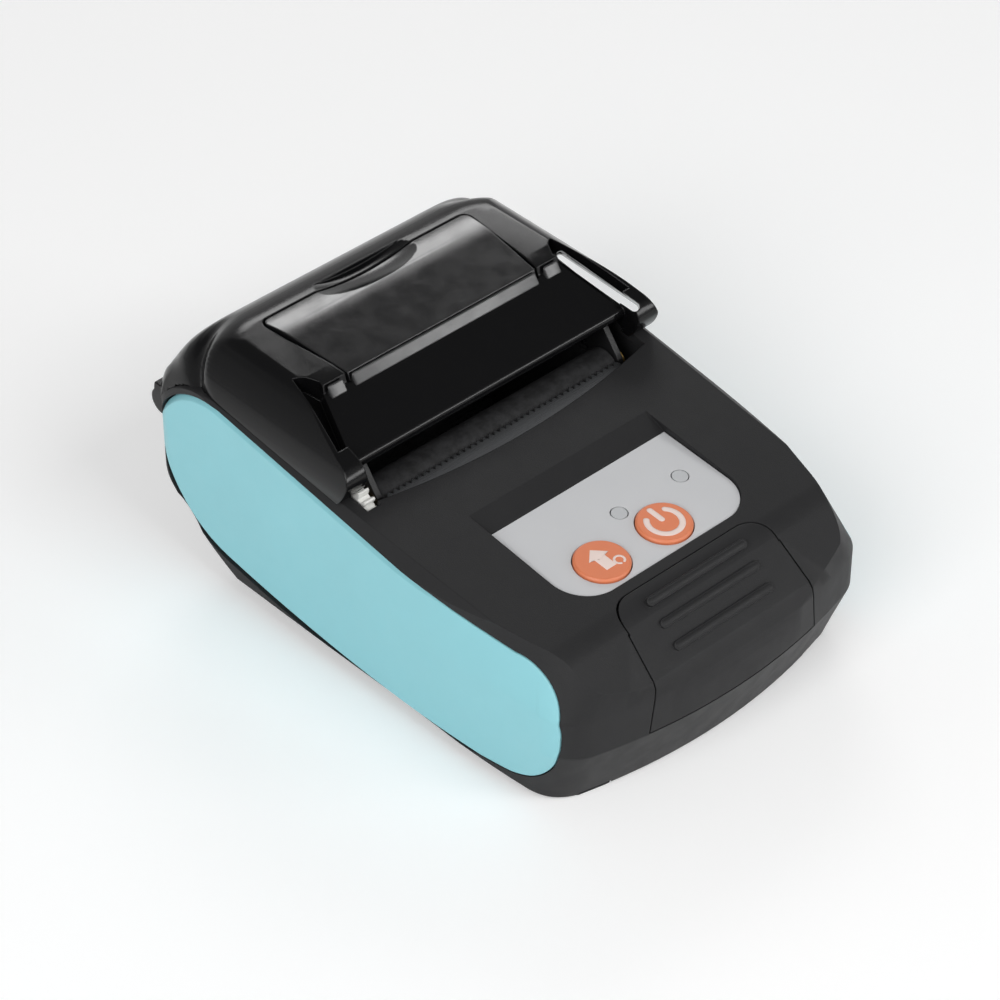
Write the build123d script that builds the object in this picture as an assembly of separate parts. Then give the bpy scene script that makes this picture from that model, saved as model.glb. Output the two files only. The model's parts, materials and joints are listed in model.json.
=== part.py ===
from build123d import *
import os
from math import atan2, cos, degrees, pi, radians, sin, sqrt, tan

# Portable receipt printer for 57 mm paper, lid closed
# X to the right, -Y to the front, +Z up, origin under the middle of the body
# All sizes in millimetres

# Overall case
body_width = 78.0
front_y = -58.0
rear_y = 56.3
seam_z = 13.4
wall = 2.0
side_wall = 4.0
base_z = 0.6
base_front_y = -53.2
base_rear_y = 26.0
base_half = 34.4
tuck_z = 6.0
tuck_rise = 1.5
rear_low_z = 21.0

# Sloping top of the case, the same plane for the label and the side shoulders
top_z_at_label = 35.3
label_rear_y = -16.3
top_tilt = 6.56

# Plan of the case
nose_half = 31.8
nose_drop = 4.4
shoulder_half = 37.6
shoulder_y = -46.0
widest_front_y = -8.0
widest_rear_y = 51.3
rear_corner_half = 34.0

# Plan of the case at its foot and at its top edge, where the nose corners draw in
foot_front_y = -53.2
foot_drop = 3.6
foot_nose_half = 28.7
foot_shoulder_half = 36.5
foot_shoulder_y = -42.0
corner_start_z = 21.0
corner_end_z = 33.0
crown_front_y = -57.4
crown_nose_half = 26.0
crown_shoulder_half = 33.6
crown_shoulder_y = -41.5

# Front roll of the case
roll_top_y = -43.5
roll_mid_y = -47.8
roll_mid_z = 30.5
roll_low_y = -55.4
roll_low_z = 24.3
nose_face_y = -57.7
nose_face_z = 18.0
roll_low_rise = 0.4
roll_top_rise = 0.25

# Bevel between the top and the side panels
bevel_inner_half = 36.9
bevel_slope = 0.9
bevel_toe_in = 2.0
shoulder_end_y = 37.0
corner_low_y = 55.6
corner_low_z = 29.5
corner_rise = 4.4
keel_rise = 5.6
keel_edge_rise = 2.7
keel_round_half = 33.0

# Side panels
panel_thickness = 2.4
seat_half = 36.5
panel_gap = 0.25
panel_top_rear_y = 36.5
panel_top_front_y = -38.3
panel_edge_round = 1.1

# Label plate, buttons and lamps
label_half_width = 21.7
label_length = 23.7
label_corner = 7.5
label_thickness = 0.8
label_sink_rear = 1.3
label_sink_front = 0.3
pad_depth = 4.2
label_gap = 0.15
ramp_length = 4.8
button_diameter = 10.4
button_gap = 0.2
button_y = -33.8
feed_x = -10.9
power_x = 4.4
button_height = 3.6
button_proud = 0.7
button_travel = 0.5
button_flange = 0.9
button_flange_thick = 0.8
lamp_y = -26.6
lamp_spacing = 15.2
feed_lamp_x = 0.3
lamp_diameter = 3.0
lamp_length = 3.4

# Battery door
door_top_y = -42.3
door_top_half = 18.3
door_low_half = 20.8
door_top_z = 34.0
door_corner = 5.0
door_gap = 0.3
door_thickness = 1.6
door_travel = 12.0
ridge_length = 24.4
ridge_width = 1.7
ridge_height = 0.6

# Battery and board
battery_width = 34.0
battery_height = 17.0
battery_front_y = -50.5
battery_rear_y = -9.8
battery_low_z = 3.6
board_width = 62.0
board_length = 30.0
board_thickness = 1.2
board_depth = 7.3
peg_half = 20.5
peg_height = 5.0
switch_height = 1.4

# Screws and feet
post_radius = 2.3
screw_radius = 0.9
screw_head_radius = 1.7
screw_head_height = 1.3
screw_length = 14.0
foot_radius = 4.0
foot_sink = 0.6

# Paper bay
paper_width = 57.5
bay_side_play = 0.9
bay_radius = 20.3
bay_y = 28.7
bay_z = 24.5
bay_wall = 1.2

# Lid
lid_gap = 0.2
lid_wall = 1.8
lid_top_z = 51.6
lip_y = 6.0
lip_z = 43.5
deck_top_y = 18.7
deck_top_z = 49.4
deck_step = 1.6
deck_lip_half = 32.7
deck_top_half = 28.0
hood_flat_y = 41.0
hood_shoulder_y = 49.7
hood_shoulder_z = 48.1
hood_rear_y = 57.2
hood_rear_z = 34.0
channel_depth = 3.4
rail_top_y = 22.5
rail_nose_y = 2.1
rail_nose_z = 42.6
rail_bend_y = 5.8
rail_bend_z = 46.2
rail_inner_front = 35.6
rail_inner_rear = 31.4
cheek_front_y = 5.2
cheek_foot_z = 37.5
cheek_half = 38.4
cheek_edge_half = 33.4
cheek_edge_z = 49.9
channel_inner_half = 33.3
slot_dip = 39.5
slot_yaw = 42.9
slot_length = 18.5
slot_width = 1.75
thumb_half = 12.5
thumb_reach = 6.6
thumb_depth = 1.5
thumb_rear_y = 42.0

# Inset panel of the lid
inset_front_half = 23.1
inset_rear_half = 25.4
inset_front_y = 18.6
inset_rear_y = 40.8
inset_crease_y = 31.0
inset_crease_z = 51.9
inset_front_z = 50.9
inset_rear_z = 51.4
inset_thickness = 1.5
inset_gap = 0.5
overall_height = 52.0

# Hinge
hinge_y = 55.3
hinge_z = 31.4
barrel_radius = 2.7
pin_radius = 1.0
pin_play = 0.05
knuckle_gap = 0.3
lid_knuckle_outer = 37.4
lid_knuckle_inner = 27.0
mid_knuckle_half = 7.0
pin_half = 36.0

# Platen, shaft and bushes
platen_y = 6.6
platen_z = 32.1
platen_radius = 4.2
platen_half = 28.8
shaft_radius = 1.5
bush_radius = 3.0
bush_inner = 29.1
bush_outer = 31.9
running_play = 0.05
shaft_right = 32.4

# Gears
gear_module = 0.6
platen_teeth = 24
idler_teeth = 20
pinion_teeth = 10
gear_inner = 32.2
gear_width = 2.4
gear_backlash = 0.14
idler_angle = -79.5
pinion_angle = 199.4

# Mechanism frame, head and motor
frame_plate_inner = 30.6
frame_plate_outer = 31.6
frame_front_y = -4.5
frame_rear_y = 14.0
carrier_inner = 29.1
carrier_outer = 30.3
frame_floor_z = 23.6
frame_top_z = 33.2
head_half = 27.5
head_low_z = 25.2
head_top_z = 33.0
spring_z = 29.2
spring_length = 5.5
idler_pin_radius = 1.0
motor_radius = 7.0
motor_length = 14.0
motor_shaft_radius = 0.75
motor_boss_radius = 1.4
shaft_in_motor = 10.0

# Charging socket in the right flank
usb_y = -20.0
usb_z = 28.3
usb_width = 8.0
usb_height = 3.0
usb_depth = 6.0
usb_face_x = 35.6

# Tear bar
tear_edge_y = 3.3
tear_edge_z = 35.8
tear_half = 28.6
tear_teeth = 40
tear_tooth_height = 1.0
tear_thickness = 0.5
tear_rise = 0.8

# Mouth in the top of the case
mouth_front_y = -2.0
mouth_side_y = 1.8
mouth_half = 34.6
mouth_rear_y = 15.5


def top_z(y):
    """Height of the sloping top plane over y."""
    return top_z_at_label + tan(radians(top_tilt)) * (y - label_rear_y)


def block(x0, x1, y0, y1, z0, z1):
    """Box between six limits."""
    return Pos((x0 + x1) / 2, (y0 + y1) / 2, (z0 + z1) / 2) * Box(x1 - x0, y1 - y0, z1 - z0)


def rod_x(radius, x0, x1, y, z):
    """Round bar along X."""
    return Pos((x0 + x1) / 2, y, z) * Rot(0, 90, 0) * Cylinder(radius, x1 - x0)


def rod_z(radius, x, y, z0, z1):
    """Round bar along Z."""
    return Pos(x, y, (z0 + z1) / 2) * Cylinder(radius, z1 - z0)


def side_prism(face, half):
    """A side view drawn as (y, z), carried to both sides of the middle plane."""
    return extrude(Plane.YZ * face, amount=half, both=True)


def slab(face, x0, x1):
    """A side view drawn as (y, z), carried from x0 to x1."""
    return extrude(Plane.YZ.offset(x0) * face, amount=x1 - x0)


def mirrored(shape):
    """The other hand of a shape."""
    return mirror(shape, about=Plane.YZ)


def both_hands(shape):
    return shape + mirrored(shape)


# Outer body

def plan_face(end_inset=0.0, side_inset=0.0, level="seam"):
    """Plan of the case: bowed nose, soft corners, straight sides."""
    front, drop, nose, corner, corner_y = plan_levels[level]
    nose_x = nose - side_inset * 0.8
    nose_y = front + drop + end_inset
    flank = body_width / 2 - side_inset
    shoulder = corner - side_inset
    rear = rear_y - end_inset
    rear_x = rear_corner_half - side_inset
    bow = TangentArc((flank, widest_front_y), (shoulder, corner_y), tangent=(0, -1))
    right = [
        bow,
        TangentArc((shoulder, corner_y), (nose_x, nose_y), tangent=bow % 1),
        Line((flank, widest_front_y), (flank, widest_rear_y)),
        TangentArc((flank, widest_rear_y), (rear_x, rear), tangent=(0, 1)),
    ]
    left = [mirror(edge, about=Plane.YZ) for edge in right]
    nose_edge = SagittaArc((-nose_x, nose_y), (nose_x, nose_y), -drop)
    back = Line((rear_x, rear), (-rear_x, rear))
    return make_face([nose_edge, back] + right + left)


plan_levels = {
    "foot": (foot_front_y, foot_drop, foot_nose_half, foot_shoulder_half, foot_shoulder_y),
    "seam": (front_y, nose_drop, nose_half, shoulder_half, shoulder_y),
    "crown": (crown_front_y, nose_drop, crown_nose_half, crown_shoulder_half, crown_shoulder_y),
}


def case_hull(end_inset=0.0, side_inset=0.0):
    """Upright hull over the plan: the nose corners draw in to the foot and to the crown."""
    foot = Pos(0, 0, base_z) * plan_face(end_inset, side_inset, "foot")
    seam = Pos(0, 0, seam_z) * plan_face(end_inset, side_inset)
    start = Pos(0, 0, corner_start_z) * plan_face(end_inset, side_inset)
    crown = Pos(0, 0, corner_end_z) * plan_face(end_inset, side_inset, "crown")
    hull = loft([foot, seam], ruled=True)
    hull = hull + extrude(seam, amount=corner_start_z - seam_z)
    hull = hull + loft([start, crown], ruled=True)
    return hull + extrude(crown, amount=30)


def profile_face(keel=keel_rise):
    """Side view of the case, drawn as (y, z)."""
    roll_top_z = top_z(roll_top_y)
    shoulder_end_z = top_z(shoulder_end_y)
    edges = [
        Line((base_front_y, base_z), (front_y, seam_z)),
        Line((front_y, seam_z), (nose_face_y, nose_face_z)),
        SagittaArc((nose_face_y, nose_face_z), (roll_low_y, roll_low_z), roll_low_rise),
        Line((roll_low_y, roll_low_z), (roll_mid_y, roll_mid_z)),
        SagittaArc((roll_mid_y, roll_mid_z), (roll_top_y, roll_top_z), roll_top_rise),
        Line((roll_top_y, roll_top_z), (shoulder_end_y, shoulder_end_z)),
        SagittaArc((shoulder_end_y, shoulder_end_z), (corner_low_y, corner_low_z), corner_rise),
        Line((corner_low_y, corner_low_z), (rear_y, rear_low_z)),
        SagittaArc((rear_y, rear_low_z), (base_rear_y, base_z), keel),
        Line((base_rear_y, base_z), (base_front_y, base_z)),
    ]
    return make_face(edges)


def bevel_cutter():
    """Wedge that slants the long top edges down to the side panels."""
    fall = bevel_slope
    reach = 8.0
    corner = Polyline(
        (bevel_inner_half, 0), (bevel_inner_half + reach, -fall * reach),
        (bevel_inner_half + reach, reach), (bevel_inner_half, reach), close=True)
    across = Plane(origin=(0, 0, top_z(0)), x_dir=(1, 0, 0),
                   z_dir=(0, -cos(radians(top_tilt)), -sin(radians(top_tilt))))
    wedge = extrude(across * make_face(corner), amount=70, both=True)
    wedge = Rot(0, 0, -bevel_toe_in) * wedge
    return both_hands(wedge)


def tuck_section():
    """Front view of the case with its rounded lower edges, drawn as (x, z)."""
    flank = body_width / 2 + 1
    right = [
        SagittaArc((base_half, base_z), (flank, tuck_z), -tuck_rise),
        Line((flank, tuck_z), (flank, 60)),
    ]
    left = [mirror(edge, about=Plane.YZ) for edge in right]
    ends = [Line((-base_half, base_z), (base_half, base_z)), Line((flank, 60), (-flank, 60))]
    return make_face(ends + right + left)


def body_solid():
    """The whole closed case as one solid block."""
    shape = side_prism(profile_face(), keel_round_half)
    inner = Plane.YZ.offset(keel_round_half) * profile_face()
    outer = Plane.YZ.offset(body_width / 2 + 1) * profile_face(keel_edge_rise)
    shape = shape + both_hands(loft([inner, outer], ruled=True))
    shape = shape & case_hull()
    shape = shape & extrude(Plane.XZ * tuck_section(), amount=80, both=True)
    return shape - bevel_cutter()


def body_core(skin=wall, side=side_wall):
    """The space inside the case walls."""
    shape = side_prism(offset(profile_face(), amount=-skin), body_width)
    return shape & case_hull(skin, side)



# Side panels

def rim_z(y):
    """Height of the top rim of a side panel, where the bevel meets the flank."""
    bevel = body_width / 2 - bevel_inner_half - tan(radians(bevel_toe_in)) * y
    return top_z(y) - bevel_slope * bevel


def panel_outline(grow=0.0):
    """Side view of a side panel, drawn as (y, z): top edge follows the bevel, ends are round."""
    top_rear = (panel_top_rear_y, rim_z(panel_top_rear_y))
    top_front = (panel_top_front_y, rim_z(panel_top_front_y))
    rear_tip = (55.0, 27.5)
    low_rear = (36.0, 6.3)
    low_front = (-37.4, 3.2)
    front_tip = (-50.0, 17.3)
    edges = [
        Line(top_front, top_rear),
        SagittaArc(top_rear, rear_tip, 4.4),
        SagittaArc(rear_tip, low_rear, 5.1),
        SagittaArc(low_rear, low_front, 2.2),
        SagittaArc(low_front, front_tip, 3.75),
        SagittaArc(front_tip, top_front, 3.8),
    ]
    face = make_face(edges)
    return offset(face, amount=grow) if grow else face


def panel_seat():
    """Room for the right side panel in the flank of the case."""
    flank = case_hull() - case_hull(0, panel_thickness + 0.1)
    return slab(panel_outline(panel_gap), seat_half - 4, body_width) & flank


def hinge_clearance(x0, x1):
    """Room for a hinge knuckle to turn."""
    return rod_x(barrel_radius + 0.4, x0, x1, hinge_y, hinge_z)


def side_panel():
    """Right side panel: the case outline cut by the panel outline, with a soft rim."""
    flank = body_width / 2
    skin = case_hull() - case_hull(0, panel_thickness)
    panel = slab(panel_outline(), seat_half - 4, flank - panel_edge_round)
    low = Plane.YZ.offset(flank - panel_edge_round) * panel_outline()
    high = Plane.YZ.offset(flank + 0.3) * panel_outline(-panel_edge_round - 0.2)
    panel = (panel + loft([low, high], ruled=True)) & skin
    panel = panel - hinge_clearance(20, lid_knuckle_outer + knuckle_gap)
    return panel


def right_side_panel():
    return side_panel() - usb_window(seat_half - 4, body_width)


def usb_window(x0, x1):
    """Window for the charging plug through the right flank."""
    return block(x0, x1, usb_y - usb_width / 2 - 0.3, usb_y + usb_width / 2 + 0.3,
                 usb_z - usb_height / 2 - 0.3, usb_z + usb_height / 2 + 0.3)


# Battery door region, shared by the door and its opening

def door_region(shrink=0.0):
    """Space over the nose that belongs to the battery door: wider below, round upper corners."""
    top = door_top_half - shrink
    low = door_low_half - shrink
    front_view = Polyline((-low, seam_z), (low, seam_z), (top, door_top_z), (-top, door_top_z), close=True)
    wedge = extrude(Plane.XZ * make_face(front_view), amount=80, both=True)
    rear_y_here = door_top_y - shrink
    depth = rear_y_here - front_y + 10
    upper = Pos(0, rear_y_here - depth / 2) * RectangleRounded(2 * top + 0.6, depth, door_corner)
    round_end_y = rear_y_here - door_corner - 1
    lower = Pos(0, round_end_y - depth / 2) * Rectangle(2 * low + 20, depth)
    return wedge & extrude(upper + lower, amount=60)


def skin_of(depth):
    """Outer body without what lies deeper than this."""
    return outer_body - body_core(depth, depth)


def battery_door():
    """Battery door with its grip ridges and two tongues that hold it under the top."""
    door = skin_of(door_thickness) & door_region(door_gap)
    door = door - block(-60, 60, -80, 0, 0, seam_z + door_gap)
    for y, z in ridge_places():
        door = door + grip_ridge(y, z)
    tongue_y = door_top_y - door_gap
    for x in (-9.0, 9.0):
        low = top_z(tongue_y) - door_thickness - 1.3
        door = door + block(x - 3, x + 3, tongue_y - 3, tongue_y + 2.2, low, low + 1.1)
        door = door + block(x - 3, x + 3, tongue_y - 3, tongue_y - 0.6, low, low + 1.9)
    return door


def ridge_places():
    """Middles of the three ridges, down the sloping nose."""
    slope = atan2(roll_mid_z - roll_low_z, roll_mid_y - roll_low_y)
    count = 3
    pitch = 4.45
    places = []
    for index in range(count):
        run = -1.0 + index * pitch
        places.append((roll_mid_y + 0.9 - run * cos(slope), roll_mid_z + 0.55 - run * sin(slope)))
    return places


def grip_ridge(y, z):
    """Round-ended bar lying on the sloping nose."""
    slope = degrees(atan2(roll_mid_z - roll_low_z, roll_mid_y - roll_low_y))
    bar = SlotOverall(ridge_length, ridge_width)
    return Pos(0, y, z) * Rot(slope, 0, 0) * extrude(bar, amount=ridge_height, both=True)


# Label, buttons and lamps

def label_tilt():
    return degrees(atan2(label_rear_z() - label_front_z(), label_length))


def label_rear_z():
    return top_z(label_rear_y) - label_sink_rear


def label_front_z():
    return top_z(label_rear_y - label_length) - label_sink_front


def label_plane():
    """Plane of the label face, its origin at the middle of the front edge."""
    tilt = radians(label_tilt())
    return Plane(origin=(0, label_rear_y - label_length, label_front_z()),
                 x_dir=(1, 0, 0), z_dir=(0, -sin(tilt), cos(tilt)))


def label_outline(grow=0.0, behind=0.0):
    """Label shape in its own plane: square at the rear, round at the front."""
    half = label_half_width + grow
    front = -grow
    rear = label_length + grow + behind
    corner = label_corner + grow
    swing = corner * (1 - sqrt(0.5))
    edges = [
        Line((-half, rear), (half, rear)),
        Line((half, rear), (half, front + corner)),
        ThreePointArc((half, front + corner), (half - swing, front + swing), (half - corner, front)),
        Line((half - corner, front), (corner - half, front)),
        ThreePointArc((corner - half, front), (swing - half, front + swing), (-half, front + corner)),
        Line((-half, front + corner), (-half, rear)),
    ]
    return make_face(edges)


def on_label(y):
    """Distance up the label from its front edge for a place over y."""
    return y - (label_rear_y - label_length)


def label_bores(grow, buttons=True):
    """Round holes of the buttons and lamps through the label."""
    tool = None
    places = [(feed_lamp_x, lamp_y, lamp_diameter), (feed_lamp_x + lamp_spacing, lamp_y, lamp_diameter)]
    if buttons:
        places += [(feed_x, button_y, button_diameter), (power_x, button_y, button_diameter)]
    for x, y, size in places:
        bore = label_plane() * (Pos(x, on_label(y), 0) * Cylinder(size / 2 + grow, 14))
        tool = bore if tool is None else tool + bore
    return tool


def label_plate():
    plate = label_plane() * extrude(label_outline(), amount=-label_thickness)
    return plate - label_bores(button_gap)


def label_recess():
    """Pocket for the label with the ramp that leads down to it from the rear."""
    ramp_y = label_rear_y + ramp_length
    front = label_rear_y - label_length
    foot_y = label_rear_y + label_gap
    foot_z = label_rear_z() + label_gap * tan(radians(label_tilt()))
    side = make_face(Polyline(
        (ramp_y, top_z(ramp_y)), (foot_y, foot_z), (front - 1, label_front_z() - tan(radians(label_tilt()))),
        (front - 1, top_z(front) + 3), (ramp_y, top_z(ramp_y) + 3), close=True))
    ramp = side_prism(side, 60) & (label_plane() * extrude(label_outline(label_gap, ramp_length), amount=6, both=True))
    pocket = label_plane() * extrude(label_outline(label_gap), amount=-label_thickness)
    return ramp + pocket


def push_button(x):
    """Round key cap with a flange that stops under the case."""
    cap_low = -button_height
    cap = Pos(x, on_label(button_y), (button_proud + cap_low) / 2) * Cylinder(
        button_diameter / 2, button_proud - cap_low)
    crown = cap.edges().filter_by(GeomType.CIRCLE).sort_by(Axis.Z)[-1]
    cap = chamfer(crown, length=0.35)
    flange = Pos(x, on_label(button_y), cap_low + button_flange_thick / 2 - 0.3) * Cylinder(
        button_diameter / 2 + button_flange, button_flange_thick)
    stem = Pos(x, on_label(button_y), cap_low - 0.6) * Cylinder(1.6, 1.0)
    return label_plane() * (cap + flange + stem)


def lamp_lens(x):
    """Short light pipe that ends flush with the label."""
    return label_plane() * (Pos(x, on_label(lamp_y), -lamp_length / 2) * Cylinder(lamp_diameter / 2, lamp_length))


# Paper bay

def bay_face(radius, rise):
    """Side view of the bay trough: half round below, straight walls above."""
    left = bay_y - radius
    right = bay_y + radius
    edges = [
        ThreePointArc((left, bay_z), (bay_y, bay_z - radius), (right, bay_z)),
        Line((right, bay_z), (right, bay_z + rise)),
        Line((right, bay_z + rise), (left, bay_z + rise)),
        Line((left, bay_z + rise), (left, bay_z)),
    ]
    return make_face(edges)


bay_half = (paper_width + bay_side_play) / 2 + 0.1


def bay_tray():
    """Trough for the paper roll with its two end walls."""
    rise = 20.0
    tray = side_prism(bay_face(bay_radius + bay_wall, rise), bay_half + bay_wall)
    tray = tray - side_prism(bay_face(bay_radius, rise + 1), bay_half)
    front_top = 26.2
    rear_top = hinge_z + 1.8
    front = block(-40, 40, -10, bay_y - bay_radius + 3.2, front_top, 60)
    rear = block(-40, 40, bay_y + bay_radius - 1.2, 60, rear_top, 60)
    tray = tray - front - rear
    return tray & (outer_body - block(-40, 40, -60, 60, 0, base_z + 1.2))


def mouth_cut():
    """Opening in the top for the paper mouth and the bay, with its bowed front edge."""
    rear = mouth_rear_y
    plan = make_face([
        SagittaArc((-mouth_half, mouth_side_y), (mouth_half, mouth_side_y), mouth_front_y - mouth_side_y),
        Line((mouth_half, mouth_side_y), (mouth_half, rear)),
        Line((mouth_half, rear), (-mouth_half, rear)),
        Line((-mouth_half, rear), (-mouth_half, mouth_side_y)),
    ])
    mouth = Pos(0, 0, top_z(0) - wall - 2.5) * extrude(plan, amount=20)
    bay = block(-bay_half, bay_half, bay_y - bay_radius, bay_y + bay_radius, bay_z, 60)
    return mouth + bay


def case_knuckles():
    """Hinge knuckles of the case with the webs that carry them."""
    shape = None
    for side in (-1, 1):
        x0 = side * (mid_knuckle_half + knuckle_gap)
        x1 = side * (lid_knuckle_inner - knuckle_gap)
        knuckle = rod_x(barrel_radius, min(x0, x1), max(x0, x1), hinge_y, hinge_z)
        web = block(min(x0, x1), max(x0, x1), bay_y + bay_radius + 0.4, hinge_y - 0.8, 20.0, hinge_z)
        piece = knuckle + web
        shape = piece if shape is None else shape + piece
    return shape


def screw_posts():
    """Places of the case screws: two beside the battery, two beside the bay."""
    return [(-27.0, -41.0), (27.0, -41.0), (-32.8, 38.0), (32.8, 38.0)]


def upper_case():
    """Upper shell: top, nose, bay trough, hinge knuckles, seats and openings."""
    shell = outer_body - inner_body
    pad_rear = label_rear_y + 2.0
    pad_front = label_rear_y - label_length - 1.0
    pad = side_prism(make_face(Polyline(
        (pad_front, top_z(pad_front) - 1), (pad_rear, top_z(pad_rear) - 1),
        (pad_rear, top_z(pad_rear) - pad_depth), (pad_front, top_z(pad_front) - pad_depth), close=True)),
        label_half_width + 2)
    shell = shell + pad
    frame_rim = (skin_of(wall + 1.4) & (door_region(-1.6) - door_region(1.4)))
    shell = shell + frame_rim
    shell = shell - block(-80, 80, -80, 80, -1, seam_z)
    shell = shell + bay_tray()
    for x, y in screw_posts():
        post = rod_z(post_radius, x, y, seam_z, top_z(y) - wall / 2)
        shell = shell + post
    shell = shell + tear_ledge()
    shell = shell - mouth_cut() - tear_seat() - gear_relief()
    shell = shell - both_hands(panel_seat())
    shell = shell - label_recess() - label_bores(button_gap)
    shell = shell - button_pockets()
    shell = shell - (skin_of(door_thickness + 0.2) & door_region()) - (door_region(1.4) & block(
        -30, 30, -80, door_top_y - 1.4, 0, 60))
    shell = shell - door_tongue_slots()
    shell = shell - hinge_clearance(-mid_knuckle_half - knuckle_gap, mid_knuckle_half + knuckle_gap)
    for side in (-1, 1):
        ends = (side * (lid_knuckle_inner - knuckle_gap), side * (lid_knuckle_outer + knuckle_gap))
        shell = shell - hinge_clearance(min(ends), max(ends))
    shell = shell + case_knuckles()
    shell = shell - rod_x(pin_radius + pin_play, -80, 80, hinge_y, hinge_z)
    for x, y in screw_posts():
        shell = shell - rod_z(screw_radius + 0.05, x, y, 0, seam_z + 8)
    return shell - usb_window(30, 60)


def tear_ledge():
    """Ledge behind the mouth edge that the tear bar lies on."""
    rear = tear_edge_y - 2.4
    front = mouth_front_y - 2.0
    low = tear_low_z() - 1.4
    ledge = block(-tear_half - 1.2, tear_half + 1.2, front, rear, low, tear_low_z())
    riser = block(-tear_half - 1.2, tear_half + 1.2, front, mouth_front_y - 0.4, low, top_z(front) - 0.5)
    return ledge + riser


def tear_plane():
    """Plane of the tear bar, its origin at the middle of the tooth tips, rising to the rear."""
    tilt = atan2(tear_rise, tear_depth())
    return Plane(origin=(0, tear_edge_y, tear_edge_z), x_dir=(1, 0, 0), z_dir=(0, -sin(tilt), cos(tilt)))


def tear_depth():
    """Length of the tear bar from the tooth tips to its front edge."""
    return tear_edge_y - mouth_front_y + 1.2


def tear_seat():
    """Slit in the case that takes the front edge of the tear bar."""
    blank = Pos(0, -tear_depth() / 2) * Rectangle(2 * tear_half + 0.3, tear_depth() + 0.3)
    return tear_plane() * extrude(blank, amount=-tear_thickness)


def gear_relief():
    """Round room for the platen gear at the left end of the mouth."""
    radius = gear_tip(platen_teeth) + 0.35
    return rod_x(radius, -gear_inner - gear_width - 0.4, -gear_inner + 0.3, platen_y, platen_z)


def gear_tip(teeth):
    return gear_module * (teeth / 2 + 0.9)


def tear_low_z():
    return tear_edge_z - tear_rise - tear_thickness


def door_tongue_slots():
    tongue_y = door_top_y - door_gap
    low = top_z(tongue_y) - door_thickness - 1.3
    slots = None
    for x in (-9.0, 9.0):
        slot = block(x - 3.3, x + 3.3, tongue_y - 4, tongue_y + 2.5, low - 0.3, low + 1.4)
        slots = slot if slots is None else slots + slot
    return slots


def button_pockets():
    """Room under the top for the button flanges."""
    pockets = None
    for x in (feed_x, power_x):
        depth = button_height + 0.3 - button_flange_thick
        pocket = label_plane() * (Pos(x, on_label(button_y), -depth - 6) * Cylinder(
            button_diameter / 2 + button_flange + 0.3, 12))
        pockets = pocket if pockets is None else pockets + pocket
    return pockets


def lower_case():
    """Lower tub with battery rails, screw bosses and foot recesses."""
    tub = outer_body - inner_body
    tub = tub - block(-80, 80, -80, 80, seam_z, 80)
    for x, y in screw_posts():
        tub = tub + (rod_z(post_radius, x, y, base_z, seam_z) & outer_body)
    rail = block(battery_width / 2 + 0.3, battery_width / 2 + 1.5, battery_front_y + 1, battery_rear_y, base_z + 1, seam_z)
    tub = tub + (both_hands(rail) & outer_body)
    for y in (battery_front_y + 8, (battery_front_y + battery_rear_y) / 2, battery_rear_y - 8):
        tub = tub + block(-battery_width / 2 - 1, battery_width / 2 + 1, y - 0.6, y + 0.6, base_z + 1, battery_low_z)
    tub = tub - both_hands(panel_seat())
    for x, y in screw_posts():
        tub = tub - rod_z(screw_radius + 0.15, x, y, -1, seam_z + 1)
        tub = tub - rod_z(screw_head_radius + 0.2, x, y, -1, screw_seat_z(x, y))
    for x, y in foot_places():
        tub = tub - rod_z(foot_radius + 0.1, x, y, -1, base_z + foot_sink)
    tub = tub - (side_prism(bay_face(bay_radius + bay_wall + 0.2, 5), bay_half + bay_wall + 0.2))
    return tub


def screw_seat_z(x, y):
    """Depth of the counterbore: deeper under the raised rear."""
    return base_z + 1.6 if y < 0 else 6.6


def foot_places():
    return [(-27.0, -47.6), (27.0, -47.6), (-27.0, 20.0), (27.0, 20.0)]


def rubber_feet():
    """Four round pads in their recesses, as separate solids."""
    pads = [rod_z(foot_radius, x, y, 0, base_z + foot_sink) for x, y in foot_places()]
    return Compound(pads)


def case_screws():
    """Four pan-head screws, as separate solids."""
    screws = []
    for x, y in screw_posts():
        seat = screw_seat_z(x, y)
        head = rod_z(screw_head_radius, x, y, seat - screw_head_height, seat)
        shank = rod_z(screw_radius, x, y, seat - 0.1, seat + screw_length)
        cross = block(x - 0.25, x + 0.25, y - 1.1, y + 1.1, 0, seat - screw_head_height + 0.7)
        cross = cross + block(x - 1.1, x + 1.1, y - 0.25, y + 0.25, 0, seat - screw_head_height + 0.7)
        screws.append(head + shank - cross)
    return Compound(screws)


# Battery, board and switches

def battery_pack():
    """Shrink-wrapped pack of two cells with a rounded cover."""
    length = battery_rear_y - battery_front_y
    middle = (battery_front_y + battery_rear_y) / 2
    pack = Pos(0, middle, battery_low_z + battery_height / 2) * Box(battery_width, length, battery_height)
    long_edges = pack.edges().filter_by(Axis.Y)
    return fillet(long_edges, radius=4.0)


def battery_contacts():
    """Moulded block with three sprung blades that touch the pack."""
    base = block(-8, 8, battery_rear_y + 1.3, battery_rear_y + 3.3, base_z + floor_skin(), 14.0)
    for x in (-5.0, 0.0, 5.0):
        base = base + block(x - 0.9, x + 0.9, battery_rear_y + 0.05, battery_rear_y + 1.4, 6.0, 12.0)
    return base


def floor_skin():
    return wall


def board_plane():
    """Top face of the main board, parallel to the label."""
    return Plane(label_plane().origin - label_plane().z_dir * board_depth,
                 x_dir=(1, 0, 0), z_dir=label_plane().z_dir)


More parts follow.
